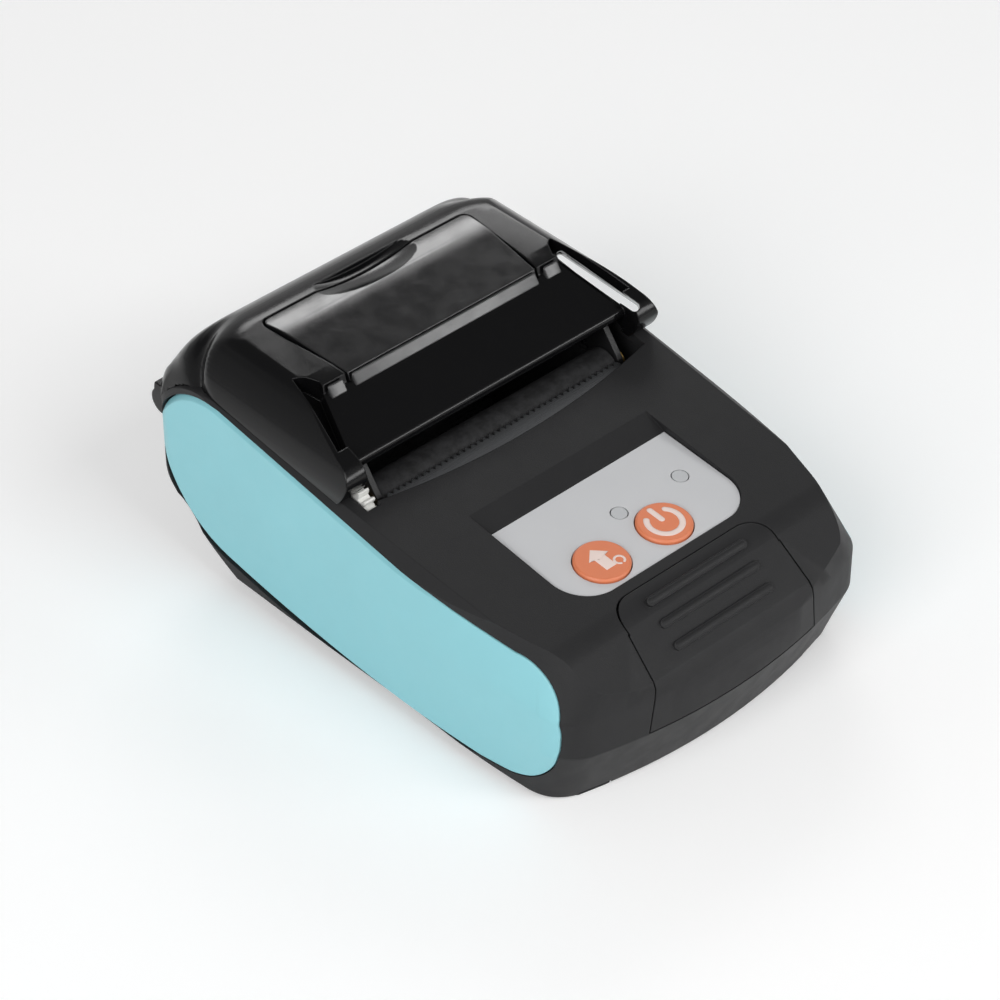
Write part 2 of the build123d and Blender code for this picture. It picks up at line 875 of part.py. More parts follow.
def main_board():
    """Main board hung under the label pad."""
    board = Pos(0, board_length / 2 - 1.0, -board_thickness / 2) * Box(board_width, board_length, board_thickness)
    board = board_plane() * board
    for x in (-1, 1):
        for y in (3.0, board_length - 5.0):
            board = board - board_plane() * (Pos(x * peg_half, y, 0) * Cylinder(0.9, 8))
    for x, y in screw_posts():
        board = board - rod_z(post_radius + 0.4, x, y, 0, 60)
    return board


def board_posts():
    """Pegs from the top down to the board corners."""
    pegs = None
    for x in (-1, 1):
        for y in (3.0, board_length - 5.0):
            peg = board_plane() * (Pos(x * peg_half, y, peg_height / 2) * Cylinder(1.7, peg_height))
            pegs = peg if pegs is None else pegs + peg
    return pegs


def tact_switch(x):
    """Small push switch on the board under a key cap."""
    body = Pos(x, on_label(button_y), switch_height / 2) * Box(6, 6, switch_height)
    knob = Pos(x, on_label(button_y), switch_height + 0.3) * Cylinder(1.7, 0.6)
    return board_plane() * (body + knob)


def status_leds():
    """Two lamps on the board under the light pipes."""
    lamps = []
    for x in (feed_lamp_x, feed_lamp_x + lamp_spacing):
        lamps.append(board_plane() * (Pos(x, on_label(lamp_y), 0.6) * Box(2.0, 1.6, 1.2)))
    return Compound(lamps)


def usb_socket():
    """Charging socket at the right edge of the board, open to the right."""
    low = usb_z - usb_height / 2
    shell = block(usb_face_x - usb_depth, usb_face_x, usb_y - usb_width / 2, usb_y + usb_width / 2, low, low + usb_height)
    mouth = block(usb_face_x - usb_depth + 0.8, usb_face_x + 1, usb_y - usb_width / 2 + 0.4,
                  usb_y + usb_width / 2 - 0.4, low + 0.4, low + usb_height - 0.4)
    tongue = block(usb_face_x - usb_depth + 0.6, usb_face_x - 0.6, usb_y - 2.2, usb_y + 2.2, usb_z - 0.35, usb_z + 0.35)
    return shell - mouth + tongue


# Mechanism: frame, head, tear bar, motor and gears

def gear_place(angle, reach, start):
    return (start[0] + reach * cos(radians(angle)), start[1] + reach * sin(radians(angle)))


platen_axis = (platen_y, platen_z)
idler_axis = gear_place(idler_angle, gear_module * (platen_teeth + idler_teeth) / 2, platen_axis)
pinion_axis = gear_place(pinion_angle, gear_module * (idler_teeth + pinion_teeth) / 2, idler_axis)


def mechanism_frame():
    """Frame with two side plates, a floor, a front wall and open slots for the bushes."""
    plate_low = frame_floor_z
    right = Polyline(
        (frame_front_y, plate_low), (frame_rear_y, plate_low), (frame_rear_y, platen_z + 1.2),
        (frame_front_y, frame_top_z), close=True)
    motor_side = Polyline(
        (frame_front_y, frame_top_z), (frame_front_y, 24.0), (-7.2, 18.0), (-7.2, 9.4), (-4.0, 8.0),
        (8.0, 8.0), (frame_rear_y, 14.0), (frame_rear_y, platen_z + 1.2), close=True)
    frame = slab(make_face(right), frame_plate_inner, frame_plate_outer)
    frame = frame + slab(make_face(motor_side), -frame_plate_outer, -frame_plate_inner)
    frame = frame + block(-frame_plate_outer, frame_plate_outer, frame_front_y, bay_y - bay_radius - bay_wall,
                          plate_low, plate_low + 1.4)
    frame = frame + block(-frame_plate_outer, frame_plate_outer, frame_front_y, frame_front_y + 1.0,
                          plate_low, head_top_z - 1.0)
    slot_half = bush_radius + 0.15
    slot = rod_x(slot_half, -40, 40, platen_y, platen_z)
    slot = slot + block(-40, 40, platen_y - slot_half, platen_y + slot_half, platen_z, 50)
    frame = frame - slot
    frame = frame - rod_x(motor_boss_radius + 0.02, -40, -30, pinion_axis[0], pinion_axis[1])
    frame = frame + rod_x(idler_pin_radius, -gear_inner - gear_width - 0.25, -frame_plate_outer, *idler_axis)
    return frame


def print_head():
    """Heated strip on a thin plate that presses on the roller."""
    face_y = platen_y - platen_radius - 0.05
    plate = block(-head_half, head_half, face_y - 1.2, face_y - 0.25, head_low_z, head_top_z)
    bead = block(-24.0, 24.0, face_y - 0.3, face_y, platen_z - 0.5, platen_z + 0.5)
    return plate + bead


def head_heatsink():
    """Metal backing of the print head with cooling ribs."""
    face_y = platen_y - platen_radius - 0.05 - 1.2
    sink = block(-head_half - 1.0, head_half + 1.0, face_y - 1.0, face_y, head_low_z, head_top_z)
    count = 6
    for index in range(count):
        x = -head_half + 4 + index * (2 * head_half - 8) / (count - 1)
        sink = sink + block(x - 0.5, x + 0.5, face_y - 1.7, face_y - 1.0, head_low_z + 1, head_top_z - 2)
    return sink


def head_springs():
    """Two bowed leaf springs between the frame wall and the heat sink, as separate solids."""
    front = frame_front_y + 1.0
    rear = platen_y - platen_radius - 0.05 - 1.2 - 1.0
    bow = rear - front - 0.05
    low = spring_z - spring_length / 2
    high = spring_z + spring_length / 2
    leaf = make_face([
        SagittaArc((front, low), (front, high), -bow),
        Line((front, high), (front, high - 0.4)),
        SagittaArc((front, high - 0.4), (front, low + 0.4), bow - 0.3),
        Line((front, low + 0.4), (front, low)),
    ])
    return Compound([slab(leaf, x - 2, x + 2) for x in (-18.8, 18.8)])


def tear_bar():
    """Thin steel strip with a saw edge that leans back over the roller."""
    pitch = 2 * tear_half / tear_teeth
    points = []
    for index in range(tear_teeth):
        x = -tear_half + index * pitch
        points.append((x, -tear_tooth_height))
        points.append((x + pitch / 2, 0))
    points.append((tear_half, -tear_tooth_height))
    points.append((tear_half, -tear_depth()))
    points.append((-tear_half, -tear_depth()))
    return tear_plane() * extrude(make_face(Polyline(*points, close=True)), amount=-tear_thickness)


def paper_sensor():
    """Reflective eye in front of the bay wall."""
    face = bay_y - bay_radius - bay_wall
    body = block(6.0, 12.0, face - 1.8, face, 18.0, 22.0)
    return body


def stepper_motor():
    """Round stepper on the left plate, with the bored boss that centres it in the plate."""
    y, z = pinion_axis
    body = rod_x(motor_radius, -frame_plate_inner, -frame_plate_inner + motor_length, y, z)
    boss = rod_x(motor_boss_radius, -frame_plate_outer, -frame_plate_inner, y, z)
    bore = rod_x(motor_shaft_radius + running_play, -40, -frame_plate_inner + shaft_in_motor + 0.2, y, z)
    return body + boss - bore


def motor_shaft():
    """Shaft of the stepper, from inside the motor to the outer face of the pinion."""
    y, z = pinion_axis
    outer_end = -gear_inner - gear_width - 0.2
    return rod_x(motor_shaft_radius, outer_end, -frame_plate_inner + shaft_in_motor, y, z)


def involute(base, radius):
    """Turn of an involute at a radius, in radians."""
    ratio = sqrt(max((radius / base) ** 2 - 1, 0))
    return ratio - atan2(ratio, 1)


def gear_face(teeth, phase, bore):
    """Spur gear outline with involute flanks of three points, drawn as (y, z)."""
    pitch = gear_module * teeth / 2
    base = pitch * cos(radians(20))
    tip = gear_tip(teeth)
    root = pitch - gear_module * 1.15
    low = max(base, root)
    half = pi / (2 * teeth) - gear_backlash / (2 * pitch) + involute(base, pitch)
    points = []
    for index in range(teeth):
        middle = radians(phase) + 2 * pi * index / teeth
        rising = []
        for radius in (low, (low + tip) / 2, tip):
            rising.append((radius, half - involute(base, radius)))
        points.append((root, middle - rising[0][1]))
        points += [(radius, middle - turn) for radius, turn in rising]
        points += [(radius, middle + turn) for radius, turn in reversed(rising)]
        points.append((root, middle + rising[0][1]))
    outline = [(radius * cos(turn), radius * sin(turn)) for radius, turn in points]
    return make_face(Polyline(*outline, close=True)) - Circle(bore)


def gear_phases():
    """Turn each gear so that a tooth of one meets a gap of the next."""
    idler = idler_angle + 180 + 180 / idler_teeth
    platen = idler_angle
    steps = (pinion_angle - idler) / (360 / idler_teeth)
    slip = steps - round(steps)
    pinion = pinion_angle + 180 + 180 / pinion_teeth + slip * 360 / pinion_teeth
    return platen, idler, pinion


def spur_gear(teeth, axis, phase, bore):
    """One gear of the train on its place, with its outline carried along X."""
    face = Pos(axis[0], axis[1]) * gear_face(teeth, phase, bore)
    return slab(face, -gear_inner - gear_width, -gear_inner)


def platen_roller():
    """Rubber sleeve on the shaft."""
    sleeve = rod_x(platen_radius, -platen_half, platen_half, platen_y, platen_z)
    return sleeve - rod_x(shaft_radius, -40, 40, platen_y, platen_z)


def platen_shaft():
    return rod_x(shaft_radius, -gear_inner - gear_width - 0.1, shaft_right, platen_y, platen_z)


def platen_bush(side):
    """Plain bush between the shaft and the carrier arm."""
    ends = sorted((side * bush_inner, side * bush_outer))
    ring = rod_x(bush_radius, ends[0], ends[1], platen_y, platen_z)
    return ring - rod_x(shaft_radius + running_play, -40, 40, platen_y, platen_z)


# Lid

def hood_profile(cheek):
    """Side view of the lid, drawn as (y, z): the deck in the middle, the rail line on the cheeks."""
    ridge = (rail_top_y, lid_top_z - 0.2)
    if cheek:
        start = (cheek_front_y, 20)
        foot = (cheek_front_y, cheek_foot_z)
        nose = (rail_nose_y, rail_nose_z)
        bend = (rail_bend_y, rail_bend_z)
        front = [
            Line(start, foot),
            SagittaArc(foot, nose, 0.45),
            SagittaArc(nose, bend, 0.8),
            SagittaArc(bend, ridge, 0.35),
        ]
    else:
        start = (lip_y, 20)
        lip_top = (lip_y + 0.8, lip_z + 0.3)
        step_top = (deck_top_y + 0.5, deck_top_z + deck_step)
        front = [
            Line(start, (lip_y, lip_z - 0.7)),
            SagittaArc((lip_y, lip_z - 0.7), lip_top, 0.2),
            Line(lip_top, (deck_top_y, deck_top_z)),
            Line((deck_top_y, deck_top_z), step_top),
            Line(step_top, ridge),
        ]
    flat_end = (hood_flat_y, lid_top_z - 0.2)
    shoulder = (hood_shoulder_y, hood_shoulder_z)
    rear = [
        Line(ridge, flat_end),
        SagittaArc(flat_end, shoulder, 0.7),
        SagittaArc(shoulder, (hood_rear_y, hood_rear_z), 1.4),
        Line((hood_rear_y, hood_rear_z), (hood_rear_y, 20)),
        Line((hood_rear_y, 20), start),
    ]
    return make_face(front + rear)


def hood_section(inset=0.0):
    """Front view of the lid, drawn as (x, z): full cheeks, a soft edge, then the flat top."""
    right = [
        Line((cheek_half, 18), (cheek_half, 39.0)),
        SagittaArc((cheek_half, 39.0), (cheek_edge_half, cheek_edge_z), -1.6),
        SagittaArc((cheek_edge_half, cheek_edge_z), (29.0, lid_top_z), -0.4),
    ]
    left = [mirror(edge, about=Plane.YZ) for edge in right]
    ends = [Line((-cheek_half, 18), (cheek_half, 18)), Line((-29.0, lid_top_z), (29.0, lid_top_z))]
    face = make_face(ends + right + left)
    return offset(face, amount=-inset) if inset else face


def deck_zone():
    """Plan of the lid between the rails: narrower where the rails run into the hood."""
    half = channel_inner_half
    points = [
        (-half, -5), (half, -5), (half, lip_y + 1.2), (rail_inner_rear - 1.2, rail_top_y),
        (1.2 - rail_inner_rear, rail_top_y), (-half, lip_y + 1.2)]
    return extrude(make_face(Polyline(*points, close=True)), amount=80)


def hood_plan(inset=0.0):
    """Plan of the lid with its rear corners rounded."""
    half = cheek_half + 1
    face = Pos(0, 15) * RectangleRounded(2 * half, 2 * (hood_rear_y - 15), 7.0)
    return offset(face, amount=-inset) if inset else face


def hood_block(inset=0.0):
    """The lid as a solid block down to the case, less an even inset."""
    section = extrude(Plane.XZ * hood_section(inset), amount=80, both=True)
    middle = hood_profile(False)
    cheek = hood_profile(True)
    if inset:
        middle = offset(middle, amount=-inset)
        cheek = offset(cheek, amount=-inset)
    zone = deck_zone()
    shape = (side_prism(cheek, 60) - zone) + (side_prism(middle, 60) & zone)
    shape = shape & section
    return shape & extrude(hood_plan(inset), amount=80)


def channel_prism(grow=0.0, deep=0.0):
    """Groove between the deck and the right rail, following the slope of the deck."""
    slope = atan2(deck_top_z - lip_z, deck_top_y - lip_y)
    outline = make_face(Polyline(
        (deck_top_half + 0.3 - grow, deck_top_y + 1.5 + grow), (deck_lip_half + 0.1 - grow, lip_y + 1.2 - grow),
        (rail_inner_front + grow, lip_y + 1.2 - grow), (rail_inner_rear + grow, deck_top_y + 5.5 + grow),
        (deck_top_half + 1.6 - grow, deck_top_y + 4.0 + grow), close=True))
    tall = extrude(outline, amount=80)
    side = make_face(Polyline(
        (lip_y - 6, lip_z - channel_depth - deep - 6 * tan(slope)),
        (deck_top_y + 12, deck_top_z - channel_depth - deep + 12 * tan(slope)),
        (deck_top_y + 12, 70), (lip_y - 6, 70), close=True))
    return tall & side_prism(side, 60)


def pull_slot():
    """Slanting slot from the right channel out through the cheek, under the rail."""
    pitch = radians(slot_dip)
    yaw = radians(slot_yaw)
    run = Vector(cos(pitch) * sin(yaw), cos(pitch) * cos(yaw), -sin(pitch))
    start = Vector(34.0, 14.0, 45.2)
    along = Vector(0, -1, -0.04)
    plane = Plane(origin=start, x_dir=(along - run * along.dot(run)).normalized(), z_dir=run)
    return plane * extrude(SlotOverall(slot_length, slot_width), amount=14, both=True)


def inset_region(grow=0.0):
    """Plan of the inset panel: wider at the rear, small corner radii."""
    front = inset_front_y - 2
    outline = Polyline(
        (-inset_front_half - grow, front), (inset_front_half + grow, front),
        (inset_rear_half + grow, inset_rear_y + grow), (-inset_rear_half - grow, inset_rear_y + grow), close=True)
    face = make_face(outline)
    corners = face.vertices().sort_by(Axis.Y)[-2:]
    return extrude(fillet(corners, radius=2.0 + grow), amount=80)


def inset_profile():
    """Side view of the inset panel, drawn as (y, z)."""
    low = deck_top_z - 1.6
    floor = lid_top_z - inset_thickness - 0.3
    edges = [
        Line((inset_front_y + 0.3, low), (inset_front_y, deck_top_z)),
        Line((inset_front_y, deck_top_z), (inset_front_y + 0.5, inset_front_z)),
        Line((inset_front_y + 0.5, inset_front_z), (inset_crease_y, inset_crease_z)),
        SagittaArc((inset_crease_y, inset_crease_z), (inset_rear_y, inset_rear_z), 0.35),
        Line((inset_rear_y, inset_rear_z), (inset_rear_y, floor)),
        Line((inset_rear_y, floor), (inset_crease_y - 1, floor)),
        Line((inset_crease_y - 1, floor), (inset_front_y + 2.0, low)),
        Line((inset_front_y + 2.0, low), (inset_front_y + 0.3, low)),
    ]
    return make_face(edges)


def thumb_dish():
    """Finger dish at the rear of the inset panel: a round-fronted hollow with a steep rear wall."""
    long_radius = thumb_half ** 2 / (2 * thumb_depth)
    short_radius = thumb_reach ** 2 / (2 * thumb_depth)
    place = Pos(0, thumb_rear_y, inset_rear_z + 0.2 - thumb_depth + long_radius)
    ring = Torus(long_radius - short_radius, short_radius)
    return (place * Rot(90, 0, 0) * ring) & block(-60, 60, 20, thumb_rear_y + 0.8, 45, 60)


def lid_inset_panel():
    panel = side_prism(inset_profile(), 40) & inset_region(-inset_gap)
    return panel - thumb_dish()


def lid_cover():
    """Hood with cheeks, rails, deck, pull slot, pocket for the inset and hinge knuckles."""
    outer = hood_block()
    hollow = hood_block(lid_wall) - block(-60, 60, -10, lip_y, 0, 80)
    lid = outer - hollow
    bed = outer & inset_region(2.0) & side_prism(offset(inset_profile(), amount=1.9), 40)
    trough = outer & both_hands(channel_prism(1.2, 1.3)) & side_prism(deck_band(), 60)
    thumb_floor = outer & block(-thumb_half - 3, thumb_half + 3, 30, thumb_rear_y + 3, lid_top_z - 4.2, 60)
    lid = lid + bed + trough + thumb_floor
    lid = lid - both_hands(channel_prism())
    lid = lid - (inset_region() & side_prism(offset(inset_profile(), amount=0.25), 40))
    lid = lid - (inset_region() & block(-60, 60, inset_front_y + 3, 60, lid_top_z - inset_thickness - 0.5, 60))
    lid = lid - block(-channel_inner_half, channel_inner_half, 0, lip_y + lid_wall + 1.5, 0, lip_z - 1.5)
    envelope = side_prism(offset(profile_face(), amount=lid_gap), 60)
    lid = lid - envelope
    lid = lid - hinge_clearance(-lid_knuckle_inner, -mid_knuckle_half) - hinge_clearance(mid_knuckle_half, lid_knuckle_inner)
    lid = lid - block(-80, 80, 40, 80, 0, hinge_z)
    knuckle = rod_x(barrel_radius, lid_knuckle_inner, lid_knuckle_outer, hinge_y, hinge_z)
    lid = lid + both_hands(knuckle) + rod_x(barrel_radius, -mid_knuckle_half, mid_knuckle_half, hinge_y, hinge_z)
    for side in (-1, 1):
        x0, x1 = sorted((side * lid_knuckle_inner, side * lid_knuckle_outer))
        lid = lid + block(x0, x1, hinge_y - 1.0, hood_rear_y, hinge_z, hood_rear_z + 1)
    lid = lid + block(-mid_knuckle_half, mid_knuckle_half, hinge_y - 1.0, hood_rear_y, hinge_z, hood_rear_z + 1)
    lid = lid - pull_slot() - thumb_dish() - gear_relief()
    return lid - rod_x(pin_radius + pin_play, -pin_half - 0.1, pin_half + 0.1, hinge_y, hinge_z)


def deck_band():
    """Side view of the space the channel troughs may fill."""
    return make_face(Polyline((0, 36), (36, 44), (36, 60), (0, 60), close=True))


def lid_platen_carrier():
    """Beam under the deck with two arms that hold the platen bushes."""
    slope = atan2(deck_top_z - lip_z - 0.3, deck_top_y - lip_y - 0.8)
    rise = tan(slope)
    under = (lid_wall + 0.01) / cos(slope)
    lip_top_y = lip_y + 0.8
    lip_top_z = lip_z + 0.3
    beam_face = Polyline(
        (9.0, lip_top_z + (9.0 - lip_top_y) * rise - under),
        (15.0, lip_top_z + (15.0 - lip_top_y) * rise - under),
        (15.0, 44.0), (12.0, 42.2), (9.0, 41.6), close=True)
    beam = side_prism(make_face(beam_face), carrier_outer)
    arm_face = make_face(Polyline(
        (8.2, 42.0), (14.6, 44.6), (platen_y + 4.6, platen_z + 1.5), (platen_y + 3.4, platen_z - 3.4),
        (platen_y - 2.2, platen_z - 4.0), (platen_y - 4.0, platen_z - 0.5), (platen_y - 3.4, platen_z + 3.4), close=True))
    arm = slab(arm_face, carrier_inner, carrier_outer)
    carrier = beam + both_hands(arm) - both_hands(channel_prism(1.25, 1.35))
    return carrier - rod_x(bush_radius + 0.02, -60, 60, platen_y, platen_z)


def hinge_pin():
    return rod_x(pin_radius, -pin_half, pin_half, hinge_y, hinge_z)


# Output

outer_body = body_solid()
inner_body = body_core()


def all_nodes():
    """Name and shape of every piece."""
    platen_phase, idler_phase, pinion_phase = gear_phases()
    return {
        "lower_case": lower_case(),
        "upper_case": upper_case() + board_posts(),
        "left_side_panel": mirrored(side_panel()),
        "right_side_panel": right_side_panel(),
        "label_plate": label_plate(),
        "feed_button": push_button(feed_x),
        "power_button": push_button(power_x),
        "left_lamp_lens": lamp_lens(feed_lamp_x),
        "right_lamp_lens": lamp_lens(feed_lamp_x + lamp_spacing),
        "battery_door": battery_door(),
        "battery_pack": battery_pack(),
        "battery_contacts": battery_contacts(),
        "main_board": main_board(),
        "feed_switch": tact_switch(feed_x),
        "power_switch": tact_switch(power_x),
        "status_leds": status_leds(),
        "usb_socket": usb_socket(),
        "mechanism_frame": mechanism_frame(),
        "print_head": print_head(),
        "head_heatsink": head_heatsink(),
        "head_springs": head_springs(),
        "tear_bar": tear_bar(),
        "paper_sensor": paper_sensor(),
        "stepper_motor": stepper_motor(),
        "motor_shaft": motor_shaft(),
        "motor_pinion": spur_gear(pinion_teeth, pinion_axis, pinion_phase, motor_shaft_radius),
        "idler_gear": spur_gear(idler_teeth, idler_axis, idler_phase, idler_pin_radius + running_play),
        "platen_gear": spur_gear(platen_teeth, platen_axis, platen_phase, shaft_radius),
        "platen_roller": platen_roller(),
        "platen_shaft": platen_shaft(),
        "left_platen_bush": platen_bush(-1),
        "right_platen_bush": platen_bush(1),
        "lid_cover": lid_cover(),
        "lid_inset_panel": lid_inset_panel(),
        "lid_platen_carrier": lid_platen_carrier(),
        "hinge_pin": hinge_pin(),
        "case_screws": case_screws(),
        "rubber_feet": rubber_feet(),
    }


if __name__ == "__main__":
    os.makedirs("parts", exist_ok=True)
    for name, shape in all_nodes().items():
        export_step(shape, "parts/" + name + ".step")
        print(name, len(shape.solids()), round(shape.volume, 1))
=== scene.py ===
import bmesh
import bpy
import json
import math
import numpy as np
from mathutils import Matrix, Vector


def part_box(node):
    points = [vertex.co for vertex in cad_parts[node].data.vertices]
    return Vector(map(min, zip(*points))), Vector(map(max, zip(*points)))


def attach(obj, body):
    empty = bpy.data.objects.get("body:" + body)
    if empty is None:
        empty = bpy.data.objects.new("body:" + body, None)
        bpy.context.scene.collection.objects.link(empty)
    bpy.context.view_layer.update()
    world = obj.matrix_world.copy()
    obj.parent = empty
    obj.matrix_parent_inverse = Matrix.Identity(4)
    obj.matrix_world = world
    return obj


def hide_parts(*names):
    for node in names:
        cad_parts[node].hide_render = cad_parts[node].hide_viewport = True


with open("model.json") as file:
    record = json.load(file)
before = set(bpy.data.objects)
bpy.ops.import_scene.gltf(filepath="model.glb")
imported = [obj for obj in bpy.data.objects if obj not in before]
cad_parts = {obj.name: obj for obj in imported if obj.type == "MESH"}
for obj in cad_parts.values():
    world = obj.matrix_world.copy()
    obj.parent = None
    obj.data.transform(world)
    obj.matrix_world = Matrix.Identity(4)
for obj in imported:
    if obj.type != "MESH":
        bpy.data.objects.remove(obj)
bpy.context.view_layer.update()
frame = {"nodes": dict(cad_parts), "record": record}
print("frame loaded:", len(frame["nodes"]), "nodes")
mm = 0.001


# camera: at the photographed angle, long lens

camera = {
    "place": (-0.36392, -0.38706, 0.45833),
    "look": (0.52567, 0.56478, -0.63615),
    "lens": 135.6,
    "sensor": 36.0,
    "clip": (0.01, 20.0),
}
camData = bpy.data.cameras.new("viewCamera")
camData.lens = camera["lens"]
camData.sensor_width = camera["sensor"]
camData.clip_start, camData.clip_end = camera["clip"]
camObj = bpy.data.objects.new("viewCamera", camData)
camObj.location = camera["place"]
camObj.rotation_mode = "QUATERNION"
camObj.rotation_quaternion = Vector(camera["look"]).to_track_quat("-Z", "Y")
bpy.context.scene.collection.objects.link(camObj)
bpy.context.scene.camera = camObj
bpy.context.scene.view_settings.view_transform = "Standard"
print("camera set")


# node helpers for the finishes

def newMaterial(name):
    mat = bpy.data.materials.new(name)
    mat.use_nodes = True
    tree = mat.node_tree
    shader = tree.nodes["Principled BSDF"]
    return mat, tree, shader


def addNode(tree, kind, **values):
    node = tree.nodes.new(kind)
    for key, value in values.items():
        if hasattr(node, key):
            setattr(node, key, value)
        else:
            node.inputs[key].default_value = value
    return node


def objectCoords(tree, scale=(1, 1, 1)):
    coords = addNode(tree, "ShaderNodeTexCoord")
    mapping = addNode(tree, "ShaderNodeMapping")
    mapping.inputs["Scale"].default_value = scale
    tree.links.new(coords.outputs["Object"], mapping.inputs["Vector"])
    return mapping.outputs["Vector"]


def noiseOn(tree, vector, scale, detail=2.0, roughness=0.5):
    noise = addNode(tree, "ShaderNodeTexNoise", Scale=scale, Detail=detail, Roughness=roughness)
    tree.links.new(vector, noise.inputs["Vector"])
    return noise.outputs["Fac"]


def rampOn(tree, value, stops):
    # stops: (place, colour) from low to high
    stops = list(stops)
    ramp = addNode(tree, "ShaderNodeValToRGB")
    elements = ramp.color_ramp.elements
    while len(elements) < len(stops):
        elements.new(0.5)
    for element, (place, colour) in zip(elements, stops):
        element.position = place
        element.color = (*colour, 1.0)
    tree.links.new(value, ramp.inputs["Fac"])
    return ramp.outputs["Color"]


edgeSamples = 8


def bumpFrom(tree, heights, edgeRound=0.0):
    # heights: (value socket, distance in metres, strength); edges are softened in the shading
    normal = None
    if edgeRound:
        soft = addNode(tree, "ShaderNodeBevel", samples=edgeSamples, Radius=edgeRound)
        normal = soft.outputs["Normal"]
    for value, distance, strength in heights:
        bump = addNode(tree, "ShaderNodeBump", Strength=strength, Distance=distance)
        tree.links.new(value, bump.inputs["Height"])
        if normal is not None:
            tree.links.new(normal, bump.inputs["Normal"])
        normal = bump.outputs["Normal"]
    return normal


def grey(value):
    return (value, value, value)


def toLinear(colour):
    # screen colour of 0 to 255 to linear light
    parts = np.array(colour) / 255.0
    linear = np.where(parts <= 0.04045, parts / 12.92, ((parts + 0.055) / 1.055) ** 2.4)
    return tuple(float(v) for v in linear)


plasticDetail = {"cloudScale": 45.0, "cloudDetail": 3.0, "cloudStops": (0.3, 0.7), "glossScale": 260.0,
                 "glossDetail": 4.0, "glossStops": (0.35, 0.65), "glossSpread": 0.03, "grainStrength": 0.6,
                 "waveScale": 70.0, "waveDetail": 1.0, "waveStrength": 0.5}


def mouldedPlastic(name, colour, roughness, grain=0.00004, grainScale=9000.0, drift=0.06,
                   specular=0.5, edgeRound=0.00025, wave=0.0):
    # coloured plastic: tiny spark-eroded grain in the bump, slow drift in colour and gloss
    detail = plasticDetail
    colour = toLinear(colour)
    mat, tree, shader = newMaterial(name)
    vector = objectCoords(tree)
    cloud = noiseOn(tree, vector, detail["cloudScale"], detail["cloudDetail"])
    dark = tuple(c * (1 - drift) for c in colour)
    light = tuple(min(1.0, c * (1 + drift)) for c in colour)
    tree.links.new(rampOn(tree, cloud, zip(detail["cloudStops"], (dark, light))), shader.inputs["Base Color"])
    fine = noiseOn(tree, vector, grainScale)
    smooth, rough = grey(roughness - detail["glossSpread"]), grey(roughness + detail["glossSpread"])
    patches = noiseOn(tree, vector, detail["glossScale"], detail["glossDetail"])
    gloss = rampOn(tree, patches, zip(detail["glossStops"], (smooth, rough)))
    tree.links.new(gloss, shader.inputs["Roughness"])
    shader.inputs["Specular IOR Level"].default_value = specular
    heights = [(fine, grain, detail["grainStrength"])]
    if wave:
        swell = noiseOn(tree, vector, detail["waveScale"], detail["waveDetail"])
        heights.append((swell, wave, detail["waveStrength"]))
    tree.links.new(bumpFrom(tree, heights, edgeRound), shader.inputs["Normal"])
    return mat


metalDetail = {"along": (1, 40, 40), "lineScale": 220.0, "lineDetail": 5.0, "stops": (0.3, 0.7),
               "shade": 0.82, "glossSpread": 0.06, "lineDepth": 0.00001, "lineStrength": 0.4,
               "edgeRound": 0.0001}


def brushedMetal(name, colour, roughness):
    # metal with fine drawn lines along one axis
    detail = metalDetail
    colour = toLinear(colour)
    mat, tree, shader = newMaterial(name)
    lines = noiseOn(tree, objectCoords(tree, detail["along"]), detail["lineScale"], detail["lineDetail"])
    dark = tuple(c * detail["shade"] for c in colour)
    tree.links.new(rampOn(tree, lines, zip(detail["stops"], (dark, colour))), shader.inputs["Base Color"])
    smooth, rough = grey(roughness - detail["glossSpread"]), grey(roughness + detail["glossSpread"])
    tree.links.new(rampOn(tree, lines, zip(detail["stops"], (smooth, rough))), shader.inputs["Roughness"])
    shader.inputs["Metallic"].default_value = 1.0
    heights = [(lines, detail["lineDepth"], detail["lineStrength"])]
    tree.links.new(bumpFrom(tree, heights, detail["edgeRound"]), shader.inputs["Normal"])
    return mat


rubberDetail = {"bloomScale": 420.0, "bloomDetail": 6.0, "bloomRoughness": 0.65, "stops": (0.38, 0.62),
                "shade": 0.6, "shine": 1.8, "specular": 0.35, "pitScale": 3800.0, "pitDepth": 0.00005,
                "pitStrength": 0.7}


def groundRubber(name, colour, roughness):
    # rubber ground to size: soft mottled bloom and fine pits
    detail = rubberDetail
    colour = toLinear(colour)
    mat, tree, shader = newMaterial(name)
    vector = objectCoords(tree)
    bloom = noiseOn(tree, vector, detail["bloomScale"], detail["bloomDetail"], detail["bloomRoughness"])
    dark = tuple(c * detail["shade"] for c in colour)
    light = tuple(c * detail["shine"] for c in colour)
    tree.links.new(rampOn(tree, bloom, zip(detail["stops"], (dark, light))), shader.inputs["Base Color"])
    shader.inputs["Roughness"].default_value = roughness
    shader.inputs["Specular IOR Level"].default_value = detail["specular"]
    pits = noiseOn(tree, vector, detail["pitScale"])
    heights = [(pits, detail["pitDepth"], detail["pitStrength"])]
    tree.links.new(bumpFrom(tree, heights), shader.inputs["Normal"])
    return mat


print("finish helpers ready")


# finishes of the printer, by material slot; grain, wave and edgeRound are in metres

